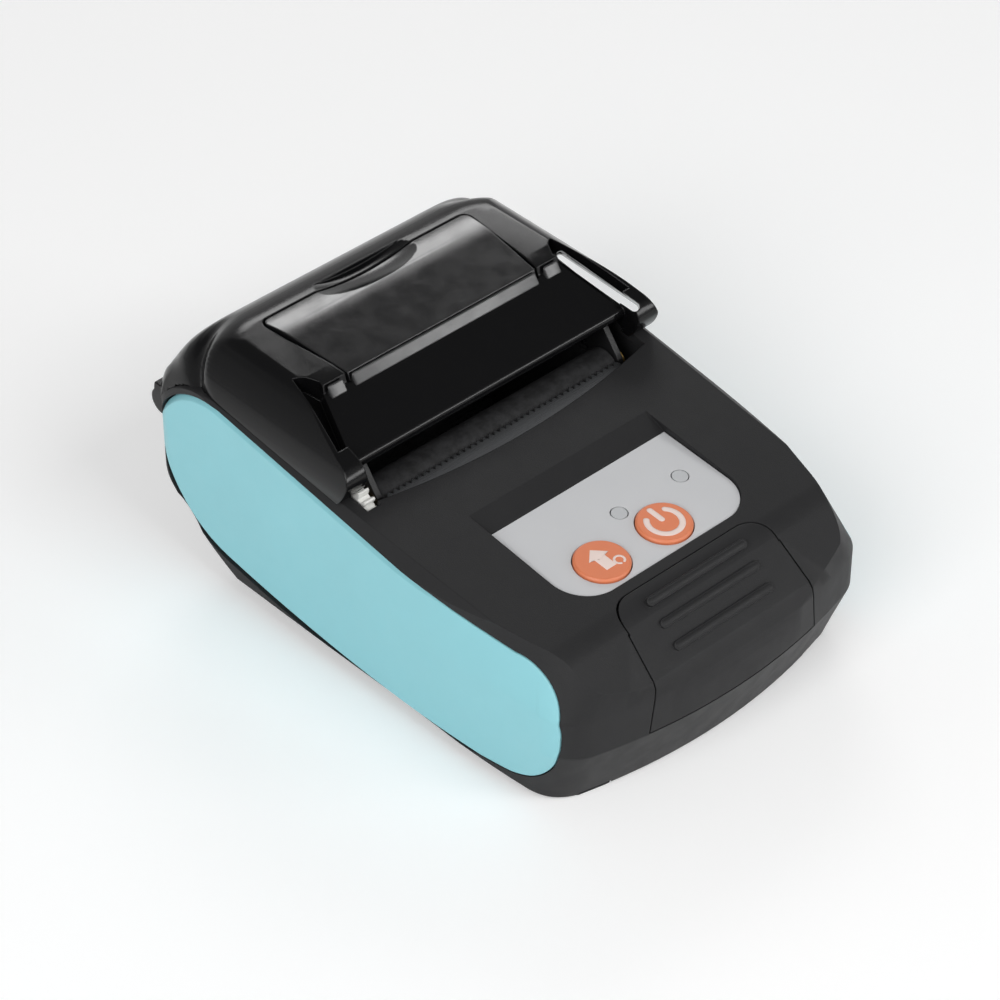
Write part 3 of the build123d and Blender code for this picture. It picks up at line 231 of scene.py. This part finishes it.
plastics = {
    "case_grey": {"name": "caseGrey", "colour": (39, 39, 40), "roughness": 0.5, "specular": 0.22,
                  "grain": 0.00005, "grainScale": 5200.0, "drift": 0.05},
    "panel_turquoise": {"name": "panelTurquoise", "colour": (141, 204, 213), "roughness": 0.42,
                        "grain": 0.00002, "drift": 0.02, "edgeRound": 0.0004},
    "lid_black": {"name": "lidBlack", "colour": (13, 13, 14), "roughness": 0.16, "specular": 0.26,
                  "grain": 0.00001, "drift": 0.03, "edgeRound": 0.0004, "wave": 0.00001},
    "label_silver": {"name": "labelSilver", "colour": (200, 201, 203), "roughness": 0.45,
                     "grain": 0.00002, "drift": 0.03, "edgeRound": 0.0001},
    "button_orange": {"name": "buttonOrange", "colour": (222, 128, 88), "roughness": 0.4,
                      "grain": 0.00002, "drift": 0.03, "edgeRound": 0.0003},
    "lamp_clear": {"name": "lampFrosted", "colour": (190, 192, 194), "roughness": 0.3, "grain": 0.00001,
                   "drift": 0.02},
    "carrier_black": {"name": "carrierBlack", "colour": (22, 22, 23), "roughness": 0.45},
    "wrap_blue": {"name": "batteryWrap", "colour": (36, 84, 164), "roughness": 0.25, "drift": 0.08},
    "board_green": {"name": "boardGreen", "colour": (28, 92, 52), "roughness": 0.3, "drift": 0.15},
    "switch_black": {"name": "switchBlack", "colour": (24, 24, 25), "roughness": 0.5},
    "led_white": {"name": "ledWhite", "colour": (236, 238, 240), "roughness": 0.3},
    "head_ceramic": {"name": "headCeramic", "colour": (230, 227, 219), "roughness": 0.2},
    "gear_white": {"name": "gearAcetal", "colour": (226, 226, 222), "roughness": 0.42, "drift": 0.02},
}
metals = {
    "contact_brass": {"name": "contactBrass", "colour": (206, 172, 104), "roughness": 0.3},
    "steel": {"name": "drawnSteel", "colour": (172, 174, 177), "roughness": 0.3},
    "head_aluminium": {"name": "headAluminium", "colour": (190, 192, 195), "roughness": 0.35},
}
rubbers = {
    "platen_rubber": {"name": "platenRubber", "colour": (30, 30, 31), "roughness": 0.7},
    "foot_rubber": {"name": "footRubber", "colour": (30, 30, 31), "roughness": 0.8},
}

slotFinish = {slot: mouldedPlastic(**row) for slot, row in plastics.items()}
slotFinish.update({slot: brushedMetal(**row) for slot, row in metals.items()})
slotFinish.update({slot: groundRubber(**row) for slot, row in rubbers.items()})
for part in frame["record"]["subparts"]:
    node = frame["nodes"][part["node"]]
    node.data.materials.clear()
    node.data.materials.append(slotFinish[part["material_slot"]])
print("finishes laid on the nodes")


# smooth copies of the moulded nodes; the inset panel is glossier than the lid round it

keepAngle = {"moulded": 32.0, "band": 30.0, "foot": 50.0, "bead": 60.0}
weldDigits = 7
inset = {"name": "insetBlack", "colour": (19, 19, 20), "roughness": 0.17, "specular": 0.7,
         "grain": 0.00001, "drift": 0.03, "edgeRound": 0.0004, "wave": 0.00001}
ownFinish = {"lid_inset_panel": mouldedPlastic(**inset)}
bodyOf = {node: body for body, names in frame["record"]["behaviour"]["bodies"].items() for node in names}
slotOf = {row["node"]: row["material_slot"] for row in frame["record"]["subparts"]}


def weldedFaces(nodeName):
    # corners within a tenth of a micrometre become one, triangles that fold up are dropped
    source = frame["nodes"][nodeName].data
    places = np.empty(len(source.vertices) * 3)
    source.vertices.foreach_get("co", places)
    corners = np.empty(len(source.loops), dtype=np.int32)
    source.loops.foreach_get("vertex_index", corners)
    points, index = np.unique(np.round(places.reshape(-1, 3), weldDigits), axis=0, return_inverse=True)
    faces = index.reshape(-1)[corners].reshape(-1, 3)
    whole = (faces[:, 0] != faces[:, 1]) & (faces[:, 1] != faces[:, 2]) & (faces[:, 2] != faces[:, 0])
    return points, faces[whole]


def addPiece(name, points, faces, material, body, smoothTo, stands=()):
    # mesh from arrays, shaded smooth up to smoothTo degrees, riding on a body
    mesh = bpy.data.meshes.new(name)
    faceRows = faces.tolist() if isinstance(faces, np.ndarray) else faces
    mesh.from_pydata(np.asarray(points).tolist(), [], faceRows)
    mesh.validate()
    mesh.shade_smooth()
    mesh.set_sharp_from_angle(angle=math.radians(smoothTo))
    mesh.materials.append(material)
    piece = bpy.data.objects.new(name, mesh)
    bpy.context.scene.collection.objects.link(piece)
    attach(piece, body)
    if stands:
        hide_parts(*stands)
    return piece


def evenNormals(piece):
    # large faces keep their own direction where a small round meets them
    even = piece.modifiers.new("evenNormals", "WEIGHTED_NORMAL")
    even.keep_sharp = True


def dress(nodeName):
    points, faces = weldedFaces(nodeName)
    slotName = slotOf[nodeName]
    material = ownFinish.get(nodeName, slotFinish[slotName])
    evenNormals(addPiece(nodeName + "Skin", points, faces, material, bodyOf[nodeName],
                         keepAngle["moulded"], (nodeName,)))


for nodeName in ("upper_case", "lower_case", "left_side_panel", "right_side_panel", "battery_door",
                 "lid_inset_panel", "feed_button", "power_button"):
    dress(nodeName)
print("moulded nodes dressed")


# lid cover: the hood's rear corners are drawn in to one rolled form; places and sizes in mm, turns in
# degrees, squareEnd and squareMiddle are exponents and innerShare is a share of the outline

hood = {"flatZ": 51.4, "flatY": 41.0, "shoulderY": 49.7, "shoulderZ": 48.1, "rearY": 57.2, "rearZ": 34.0,
        "topZ": 51.6, "half": 38.4, "topSag": 0.7, "backSag": 1.4, "midX": 22.0, "midY": 38.0, "midZ": 30.0,
        "squareEnd": 5.0, "squareMiddle": 2.75, "roundTurn": 64.0, "easeUp": 0.3, "easeDown": 0.02,
        "keepZ": (33.0, 44.0), "innerShare": 0.925, "cut": 1.1, "smoothTo": 34.0, "arcPoints": 160}
tiny = {"reach": 1e-6, "size": 1e-9, "normal": 1e-20, "cut": 1e-7}


def sagArc(start, end, rise):
    # arc through start and end whose middle stands off the chord by rise, to its left;
    # radius = (chord^2 / 4 + rise^2) / (2 rise)
    start = np.array(start, dtype=float)
    end = np.array(end, dtype=float)
    chord = end - start
    length = np.linalg.norm(chord)
    radius = (length ** 2 / 4 + rise ** 2) / (2 * abs(rise))
    swing = np.arcsin(length / 2 / radius)
    turn = np.linspace(-swing, swing, hood["arcPoints"])
    along = radius * np.sin(turn)
    off = (radius * np.cos(turn) - radius * np.cos(swing)) * np.sign(rise)
    left = np.array([-chord[1], chord[0]]) / length
    return (start + end) / 2 + np.outer(along, chord / length) + np.outer(off, left)


# side outline of the hood as (y, z), from the flat top down its back
hoodSide = np.concatenate([
    [(hood["midY"], hood["flatZ"])],
    sagArc((hood["flatY"], hood["flatZ"]), (hood["shoulderY"], hood["shoulderZ"]), hood["topSag"]),
    sagArc((hood["shoulderY"], hood["shoulderZ"]), (hood["rearY"], hood["rearZ"]), hood["backSag"])[1:],
    [(hood["rearY"], hood["midZ"])]])
sideOff = hoodSide - np.array([hood["midY"], hood["midZ"]])
sideTurn = np.arctan2(sideOff[:, 1], sideOff[:, 0])[::-1]
sideReach = np.linalg.norm(sideOff, axis=1)[::-1]


def vertexNormals(points, faces):
    # each corner's faces added up by their area
    corners = points[faces]
    flat = np.cross(corners[:, 1] - corners[:, 0], corners[:, 2] - corners[:, 0])
    total = np.zeros_like(points)
    for column in range(3):
        np.add.at(total, faces[:, column], flat)
    return total / np.maximum(np.linalg.norm(total, axis=1), tiny["normal"])[:, None]


def rollCorners(points, faces):
    # s = reach / side outline at the same turn, u = share of the way from midX to the side wall;
    # s^e + u^e = 1 is the rolled form, and e falls to squareMiddle at the turn roundTurn;
    # the wall's inner face is held at innerShare of it, and below keepZ nothing moves
    x, y, z = points.T / mm
    side = np.where(x < 0, -1.0, 1.0)
    offX = np.clip(np.abs(x) - hood["midX"], 0, None)
    offY, offZ = y - hood["midY"], z - hood["midZ"]
    turn = np.arctan2(offZ, offY)
    reach = np.hypot(offY, offZ)
    s = reach / np.interp(turn, sideTurn, sideReach)
    u = offX / (hood["half"] - hood["midX"])
    span = np.degrees(turn) - hood["roundTurn"]
    ease = np.where(span > 0, hood["easeUp"], hood["easeDown"])
    span = np.where(span > 0, span / (90 - hood["roundTurn"]), -span / hood["roundTurn"])
    span = np.clip(span, 0, 1) ** 2
    e = hood["squareMiddle"] + (hood["squareEnd"] - hood["squareMiddle"]) * span * (1 + ease) / (span + ease)
    size = (s ** e + u ** e) ** (1 / e)
    normals = vertexNormals(points, faces)
    outward = (normals[:, 1] * offY + normals[:, 2] * offZ) / np.maximum(reach, tiny["reach"]) * s
    share = np.where(normals[:, 0] * side * u + outward > 0, 1.0, hood["innerShare"])
    moves = (size > share) & (u > 0) & (offY > 0) & (offZ > 0)
    pull = np.where(moves, share / np.maximum(size, tiny["size"]), 1.0)
    lowZ, highZ = hood["keepZ"]
    rise = np.clip((z - lowZ) / (highZ - lowZ), 0, 1)
    pull = 1 - (1 - pull) * rise * rise * (3 - 2 * rise)
    away = np.where(u > 0, hood["midX"] + offX * pull, np.abs(x))
    return np.stack([side * away, hood["midY"] + offY * pull, hood["midZ"] + offZ * pull], axis=1) * mm


def slicedMesh(points, faces, planes):
    # flat cuts through the faces that lie behind the deck, so that they can follow a round form;
    # the faces are laid one by one, because the cuts depend on the order of the edges
    work = bmesh.new()
    corners = [work.verts.new(place) for place in points]
    for face in faces:
        work.faces.new([corners[index] for index in face])
    for place, normal in planes:
        rear = [face for face in work.faces if max(v.co.y for v in face.verts) > hood["midY"] * mm]
        edges = list(dict.fromkeys(edge for face in rear for edge in face.edges))
        verts = list(dict.fromkeys(vert for face in rear for vert in face.verts))
        bmesh.ops.bisect_plane(work, geom=rear + edges + verts, plane_co=place, plane_no=normal,
                               dist=tiny["cut"])
    bmesh.ops.triangulate(work, faces=work.faces)
    mesh = bpy.data.meshes.new("slicedLid")
    work.to_mesh(mesh)
    work.free()
    newPoints = np.empty(len(mesh.vertices) * 3)
    mesh.vertices.foreach_get("co", newPoints)
    newFaces = np.empty(len(mesh.loops), dtype=np.int32)
    mesh.loops.foreach_get("vertex_index", newFaces)
    bpy.data.meshes.remove(mesh)
    return newPoints.reshape(-1, 3), newFaces.reshape(-1, 3)


cuts = [((0, y * mm, 0), (0, 1, 0)) for y in np.arange(hood["midY"], hood["rearY"], hood["cut"])]
cuts += [((0, 0, z * mm), (0, 0, 1)) for z in np.arange(hood["midZ"], hood["topZ"], hood["cut"])]
cuts += [((side * x * mm, 0, 0), (1, 0, 0)) for x in np.arange(hood["midX"], hood["half"], hood["cut"])
         for side in (-1, 1)]
lidPoints, lidFaces = slicedMesh(*weldedFaces("lid_cover"), cuts)
evenNormals(addPiece("lidCoverSkin", rollCorners(lidPoints, lidFaces), lidFaces, slotFinish["lid_black"],
                     "lid", hood["smoothTo"], ("lid_cover",)))
print("lid cover rolled:", len(lidFaces), "faces")


# surfaces on a grid

def gridFaces(rows, columns, flip=False):
    # quads between neighbouring rows of a grid of points, whose columns close into a ring
    down, across = np.meshgrid(np.arange(rows - 1), np.arange(columns), indexing="ij")
    after = (across + 1) % columns
    quads = np.stack([down * columns + across, down * columns + after,
                      (down + 1) * columns + after, (down + 1) * columns + across], axis=-1).reshape(-1, 4)
    return quads[:, ::-1] if flip else quads


def ringCap(row, columns, flip=False):
    # one face over a whole row of the grid
    corners = list(range(row * columns, (row + 1) * columns))
    return corners[::-1] if flip else corners


def onPlane(across, up, out, origin, xWay, normal):
    # flat coordinates carried to a plane: origin + across * x + up * y + out * normal
    yWay = np.cross(normal, xWay)
    return origin + across[..., None] * xWay + up[..., None] * yWay + out[..., None] * normal


bead = {"sides": 16, "tip": 0.02, "printPoints": 40, "ridgePoints": 60}
xAxis = np.array([1.0, 0.0, 0.0])


def beadAlong(path, width, height):
    # flattened oval carried along a flat path; its size falls as a circle towards both ends
    sides = bead["sides"]
    run = np.concatenate([[0.0], np.cumsum(np.linalg.norm(np.diff(path, axis=0), axis=1))])
    left = np.clip(np.minimum(run, run[-1] - run) / (width / 2), 0, 1)
    size = np.clip(np.sqrt(np.clip(1 - (1 - left) ** 2, 0, 1)), bead["tip"], 1)
    way = np.gradient(path, axis=0)
    way /= np.linalg.norm(way, axis=1)[:, None]
    side = np.stack([-way[:, 1], way[:, 0]], axis=1)
    turn = np.linspace(0, 2 * np.pi, sides, endpoint=False)
    off = np.outer(size, np.cos(turn)) * width / 2
    out = np.outer(size, np.sin(turn)) * height
    flat = path[:, None, :] + side[:, None, :] * off[..., None]
    faces = gridFaces(len(path), sides).tolist() + [ringCap(0, sides, True), ringCap(len(path) - 1, sides)]
    return flat[..., 0], flat[..., 1], out, faces


def denseEnds(start, end, count):
    # straight path with its points gathered towards the ends, where the bead rounds off
    share = 0.5 - 0.5 * np.cos(np.linspace(0, np.pi, count))
    return np.array(start) + share[:, None] * (np.array(end) - np.array(start))


# printed symbols on the two buttons

symbol = {"proud": 0.7, "sink": 0.02, "height": 0.07, "under": 0.05, "ringRadius": 3.2, "stroke": 1.25,
          "gap": 34.0, "barLow": 0.1, "barHigh": 4.3, "arrowHead": 2.5, "arrowStem": 1.25, "arrowTop": 3.3,
          "arrowNeck": 0.9, "arrowFoot": -2.6, "rollRadius": 0.95, "rollPlace": (2.35, -1.9),
          "rollTurn": (-80, 262), "rollStroke": 0.5, "ringPoints": 72, "patchRings": 6, "patchPower": 8}
printing = {"name": "printedPink", "colour": (236, 216, 208), "roughness": 0.5, "grain": 0.00001,
            "drift": 0.02}
printMat = mouldedPlastic(**printing)


def buttonPlane(jointName):
    # origin on the button's face, from its joint; the joint's axis points into the case
    row = next(j for j in frame["record"]["behaviour"]["joints"] if j["name"] == jointName)
    normal = -np.array(row["axis"], dtype=float)
    normal /= np.linalg.norm(normal)
    origin = np.array(row["pos_m"]) + normal * (symbol["proud"] - symbol["sink"]) * mm
    return origin, xAxis, normal


def printStroke(name, path, width, jointName, body):
    across, up, out, faces = beadAlong(np.asarray(path) * mm, width * mm, symbol["height"] * mm)
    points = onPlane(across, up, out, *buttonPlane(jointName)).reshape(-1, 3)
    addPiece(name, points, faces, printMat, body, keepAngle["bead"])


def ringPath(radius, start, stop, centre=(0.0, 0.0)):
    # (radius cos t, radius sin t) about the centre
    turn = np.radians(np.linspace(start, stop, symbol["ringPoints"]))
    return np.stack([centre[0] + radius * np.cos(turn), centre[1] + radius * np.sin(turn)], axis=1)


def printPatch(name, outline, jointName, body):
    # filled outline: rings of points from its middle to its edge, height = 1 - share^patchPower
    plane = buttonPlane(jointName)
    rings, count = symbol["patchRings"], len(outline)
    outline = np.asarray(outline) * mm
    middle = outline.mean(axis=0)
    share = np.linspace(0.0, 1.0, rings + 1)[1:]
    flat = middle + share[:, None, None] * (outline - middle)
    fall = symbol["height"] * mm * (1 - share ** symbol["patchPower"])
    top = onPlane(flat[..., 0], flat[..., 1], np.repeat(fall[:, None], count, axis=1), *plane).reshape(-1, 3)
    low = onPlane(flat[-1, :, 0], flat[-1, :, 1], np.full(count, -symbol["under"] * mm), *plane)
    centre = onPlane(middle[None, 0], middle[None, 1], np.array([symbol["height"] * mm]), *plane)
    points = np.concatenate([top, low, centre])
    faces = gridFaces(rings + 1, count, flip=True).tolist() + [ringCap(rings, count, True)]
    faces += [[len(points) - 1, i, (i + 1) % count] for i in range(count)]
    addPiece(name, points, faces, printMat, body, keepAngle["bead"])


printStroke("powerRing", ringPath(symbol["ringRadius"], 90 + symbol["gap"], 450 - symbol["gap"]),
            symbol["stroke"], "power_press", "power_key")
printStroke("powerBar", denseEnds((0, symbol["barLow"]), (0, symbol["barHigh"]), bead["printPoints"]),
            symbol["stroke"], "power_press", "power_key")
printStroke("feedRoll", ringPath(symbol["rollRadius"], *symbol["rollTurn"], symbol["rollPlace"]),
            symbol["rollStroke"], "feed_press", "feed_key")
arrow = [(0, symbol["arrowTop"]),
         (-symbol["arrowHead"], symbol["arrowNeck"]), (-symbol["arrowStem"], symbol["arrowNeck"]),
         (-symbol["arrowStem"], symbol["arrowFoot"]), (symbol["arrowStem"], symbol["arrowFoot"]),
         (symbol["arrowStem"], symbol["arrowNeck"]), (symbol["arrowHead"], symbol["arrowNeck"])]
printPatch("feedArrow", arrow, "feed_press", "feed_key")
print("symbols printed")


# rubber feet, trimmed to the front edge of the case

foot = {"radius": 4.0, "low": 0.0, "high": 1.15, "round": 0.35, "pole": 0.02, "roundPoints": 7,
        "edgeFront": -53.2, "edgeBow": 232.4, "inset": 0.45, "segments": 48}
padLow, padHigh = (np.array(corner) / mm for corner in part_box("rubber_feet"))


def footPad(centre):
    # turned profile of radius and height, whose front is cut to y = edgeFront + x^2 / edgeBow + inset
    bend = np.linspace(0, np.pi / 2, foot["roundPoints"])
    radius = np.concatenate([[foot["pole"]], foot["radius"] - foot["round"] * (1 - np.sin(bend)),
                             [foot["radius"], foot["pole"]]])
    height = np.concatenate([[foot["low"]], foot["low"] + foot["round"] * (1 - np.cos(bend)),
                             [foot["high"], foot["high"]]])
    turn = np.linspace(0, 2 * np.pi, foot["segments"], endpoint=False)
    x = centre[0] + np.outer(radius, np.cos(turn))
    y = centre[1] + np.outer(radius, np.sin(turn))
    y = np.maximum(y, foot["edgeFront"] + x ** 2 / foot["edgeBow"] + foot["inset"])
    z = np.repeat(height[:, None], len(turn), axis=1)
    return np.stack([x, y, z], axis=-1).reshape(-1, 3) * mm


pads = [footPad((padX, padY)) for padX in (padLow[0] + foot["radius"], padHigh[0] - foot["radius"])
        for padY in (padLow[1] + foot["radius"], padHigh[1] - foot["radius"])]
padRows = len(pads[0]) // foot["segments"]
padFaces = gridFaces(padRows, foot["segments"]).tolist()
padFaces += [ringCap(0, foot["segments"], True), ringCap(padRows - 1, foot["segments"])]
footFaces = [[corner + number * len(pads[0]) for corner in face]
             for number in range(len(pads)) for face in padFaces]
addPiece("footPads", np.concatenate(pads), footFaces, slotFinish["foot_rubber"], "case",
         keepAngle["foot"], ("rubber_feet",))
print("feet trimmed")


# grip ridges of the battery door as rounded beads

ridge = {"midY": -47.8, "midZ": 30.5, "lowY": -55.4, "lowZ": 24.3, "liftY": 0.9, "liftZ": 0.55,
         "first": -1.0, "pitch": 4.45, "count": 3, "length": 24.4, "width": 1.9, "height": 0.85}
ridgeSlope = math.atan2(ridge["midZ"] - ridge["lowZ"], ridge["midY"] - ridge["lowY"])
ridgeNormal = np.array([0.0, -math.sin(ridgeSlope), math.cos(ridgeSlope)])
half = (ridge["length"] / 2) * mm
for index in range(ridge["count"]):
    run = ridge["first"] + index * ridge["pitch"]
    middle = np.array([0.0, ridge["midY"] + ridge["liftY"] - run * math.cos(ridgeSlope),
                       ridge["midZ"] + ridge["liftZ"] - run * math.sin(ridgeSlope)]) * mm
    path = denseEnds((-half, 0), (half, 0), bead["ridgePoints"])
    across, up, out, faces = beadAlong(path, ridge["width"] * mm, ridge["height"] * mm)
    points = onPlane(across, up, out, middle, xAxis, ridgeNormal).reshape(-1, 3)
    addPiece("gripRidge%d" % index, points, faces, slotFinish["case_grey"], "door",
             keepAngle["bead"])
print("grip ridges laid")


# sloping bands against the step of the hood, in front of the inset panel and at both its sides; their lighter
# grey is a painted highlight, light reflected on the black step's face

band = {"foot": (17.2, 48.75), "head": (18.62, 50.84), "back": (18.8, 48.9), "under": (17.6, 48.4),
        "draw": (0.0, 0.1, 0.35), "shrink": (0.72, 0.92, 1.0),
        "spans": {"insetBand": (-22.4, 22.4), "leftStepBand": (-28.0, -24.4), "rightStepBand": (24.4, 28.0)}}
# painted highlight: the bands' grey, lighter than the black lid, stands in for a reflection of light on the
# step
bandHighlightFinish = {"name": "bandPaintedHighlight", "colour": (48, 48, 49), "roughness": 0.2, "specular": 0.5,
              "grain": 0.00001, "drift": 0.03, "edgeRound": 0.0004, "wave": 0.00001}
bandHighlightMat = mouldedPlastic(**bandHighlightFinish)


def stepBand(name, lowX, highX):
    # four-cornered section carried along x, drawn in to its middle at both ends
    section = np.array([band["foot"], band["head"], band["back"], band["under"]])
    middle = section.mean(axis=0)
    draw, shrink = np.array(band["draw"]), np.array(band["shrink"])
    x = np.concatenate([lowX + draw, highX - draw[::-1]])
    size = np.concatenate([shrink, shrink[::-1]])
    flat = middle + size[:, None, None] * (section - middle)
    corners = len(section)
    across = np.repeat(x[:, None], corners, axis=1)[..., None]
    points = np.concatenate([across, flat], axis=-1).reshape(-1, 3) * mm
    faces = gridFaces(len(x), corners, flip=True).tolist()
    faces += [ringCap(0, corners), ringCap(len(x) - 1, corners, True)]
    addPiece(name, points, faces, bandHighlightMat, "lid", keepAngle["band"])


for bandName, bandSpan in band["spans"].items():
    stepBand(bandName, *bandSpan)
print("step bands laid")


# floor and soft studio light

studio = {"floorHalf": 6, "floorTone": 0.90, "floorRoughness": 0.9, "floorSpecular": 0.1, "floorLift": 0.19,
          "sky": ((0.0, 0.6), (0.58, 0.42), (0.70, 0.16)), "paleSky": 0.9}

far = studio["floorHalf"]
floorMesh = bpy.data.meshes.new("floor")
floorMesh.from_pydata([(-far, -far, 0), (far, -far, 0), (far, far, 0), (-far, far, 0)], [], [(0, 1, 2, 3)])
floorObj = bpy.data.objects.new("floor", floorMesh)
bpy.context.scene.collection.objects.link(floorObj)
floorMat, floorTree, floorShader = newMaterial("floorPaper")
floorShader.inputs["Base Color"].default_value = (*grey(studio["floorTone"]), 1)
floorShader.inputs["Roughness"].default_value = studio["floorRoughness"]
floorShader.inputs["Specular IOR Level"].default_value = studio["floorSpecular"]

# the floor is paler to the camera and in reflections than the light it gives off
floorPath = addNode(floorTree, "ShaderNodeLightPath")
floorSeen = floorPath.outputs["Is Camera Ray"]
for kind in ("Is Glossy Ray", "Is Transmission Ray"):
    floorSum = addNode(floorTree, "ShaderNodeMath", operation="MAXIMUM")
    floorTree.links.new(floorSeen, floorSum.inputs[0])
    floorTree.links.new(floorPath.outputs[kind], floorSum.inputs[1])
    floorSeen = floorSum.outputs["Value"]
floorLift = addNode(floorTree, "ShaderNodeMath", operation="MULTIPLY")
floorTree.links.new(floorSeen, floorLift.inputs[0])
floorLift.inputs[1].default_value = studio["floorLift"]
floorShader.inputs["Emission Color"].default_value = (1, 1, 1, 1)
floorTree.links.new(floorLift.outputs["Value"], floorShader.inputs["Emission Strength"])
floorMesh.materials.append(floorMat)

# the sky darkens upwards for all but the camera, which sees it pale
world = bpy.data.worlds.new("studio")
bpy.context.scene.world = world
world.use_nodes = True
skyTree = world.node_tree
skyTree.nodes.clear()
skyCoords = addNode(skyTree, "ShaderNodeTexCoord")
skySplit = addNode(skyTree, "ShaderNodeSeparateXYZ")
skyTree.links.new(skyCoords.outputs["Generated"], skySplit.inputs["Vector"])
skyTone = rampOn(skyTree, skySplit.outputs["Z"], [(place, grey(tone)) for place, tone in studio["sky"]])
skyLight = addNode(skyTree, "ShaderNodeBackground")
skyTree.links.new(skyTone, skyLight.inputs["Color"])
skyPale = addNode(skyTree, "ShaderNodeBackground", Color=(*grey(studio["paleSky"]), 1.0))
skyPath = addNode(skyTree, "ShaderNodeLightPath")
skyMix = addNode(skyTree, "ShaderNodeMixShader")
skyTree.links.new(skyPath.outputs["Is Camera Ray"], skyMix.inputs["Fac"])
skyTree.links.new(skyLight.outputs["Background"], skyMix.inputs[1])
skyTree.links.new(skyPale.outputs["Background"], skyMix.inputs[2])
skyOut = addNode(skyTree, "ShaderNodeOutputWorld")
skyTree.links.new(skyMix.outputs["Shader"], skyOut.inputs["Surface"])

lamps = {
    "leftBox": {"place": (-0.9, -0.35, 0.75), "target": (0, 0, 0.02), "size": (0.8, 0.6), "power": 7.4},
    "frontBox": {"place": (0.15, -0.9, 0.95), "target": (0, 0, 0.02), "size": (0.7, 0.5), "power": 4.6},
    "rightBox": {"place": (0.70, -1.02, 0.42), "target": (0, 0, 0.045), "size": (0.4, 0.28), "power": 2.4},
    "backBox": {"place": (0.74, 0.87, 0.68), "target": (0, 0, 0.045), "size": (0.55, 0.26), "power": 2.3},
}


def softBox(name, place, target, size, power):
    lamp = bpy.data.lights.new(name, "AREA")
    lamp.shape = "RECTANGLE"
    lamp.size, lamp.size_y = size
    lamp.energy = power
    obj = bpy.data.objects.new(name, lamp)
    obj.location = place
    obj.rotation_mode = "QUATERNION"
    obj.rotation_quaternion = (Vector(target) - Vector(place)).to_track_quat("-Z", "Y")
    bpy.context.scene.collection.objects.link(obj)


for lampName, lampRow in lamps.items():
    softBox(lampName, **lampRow)
print("studio lit")
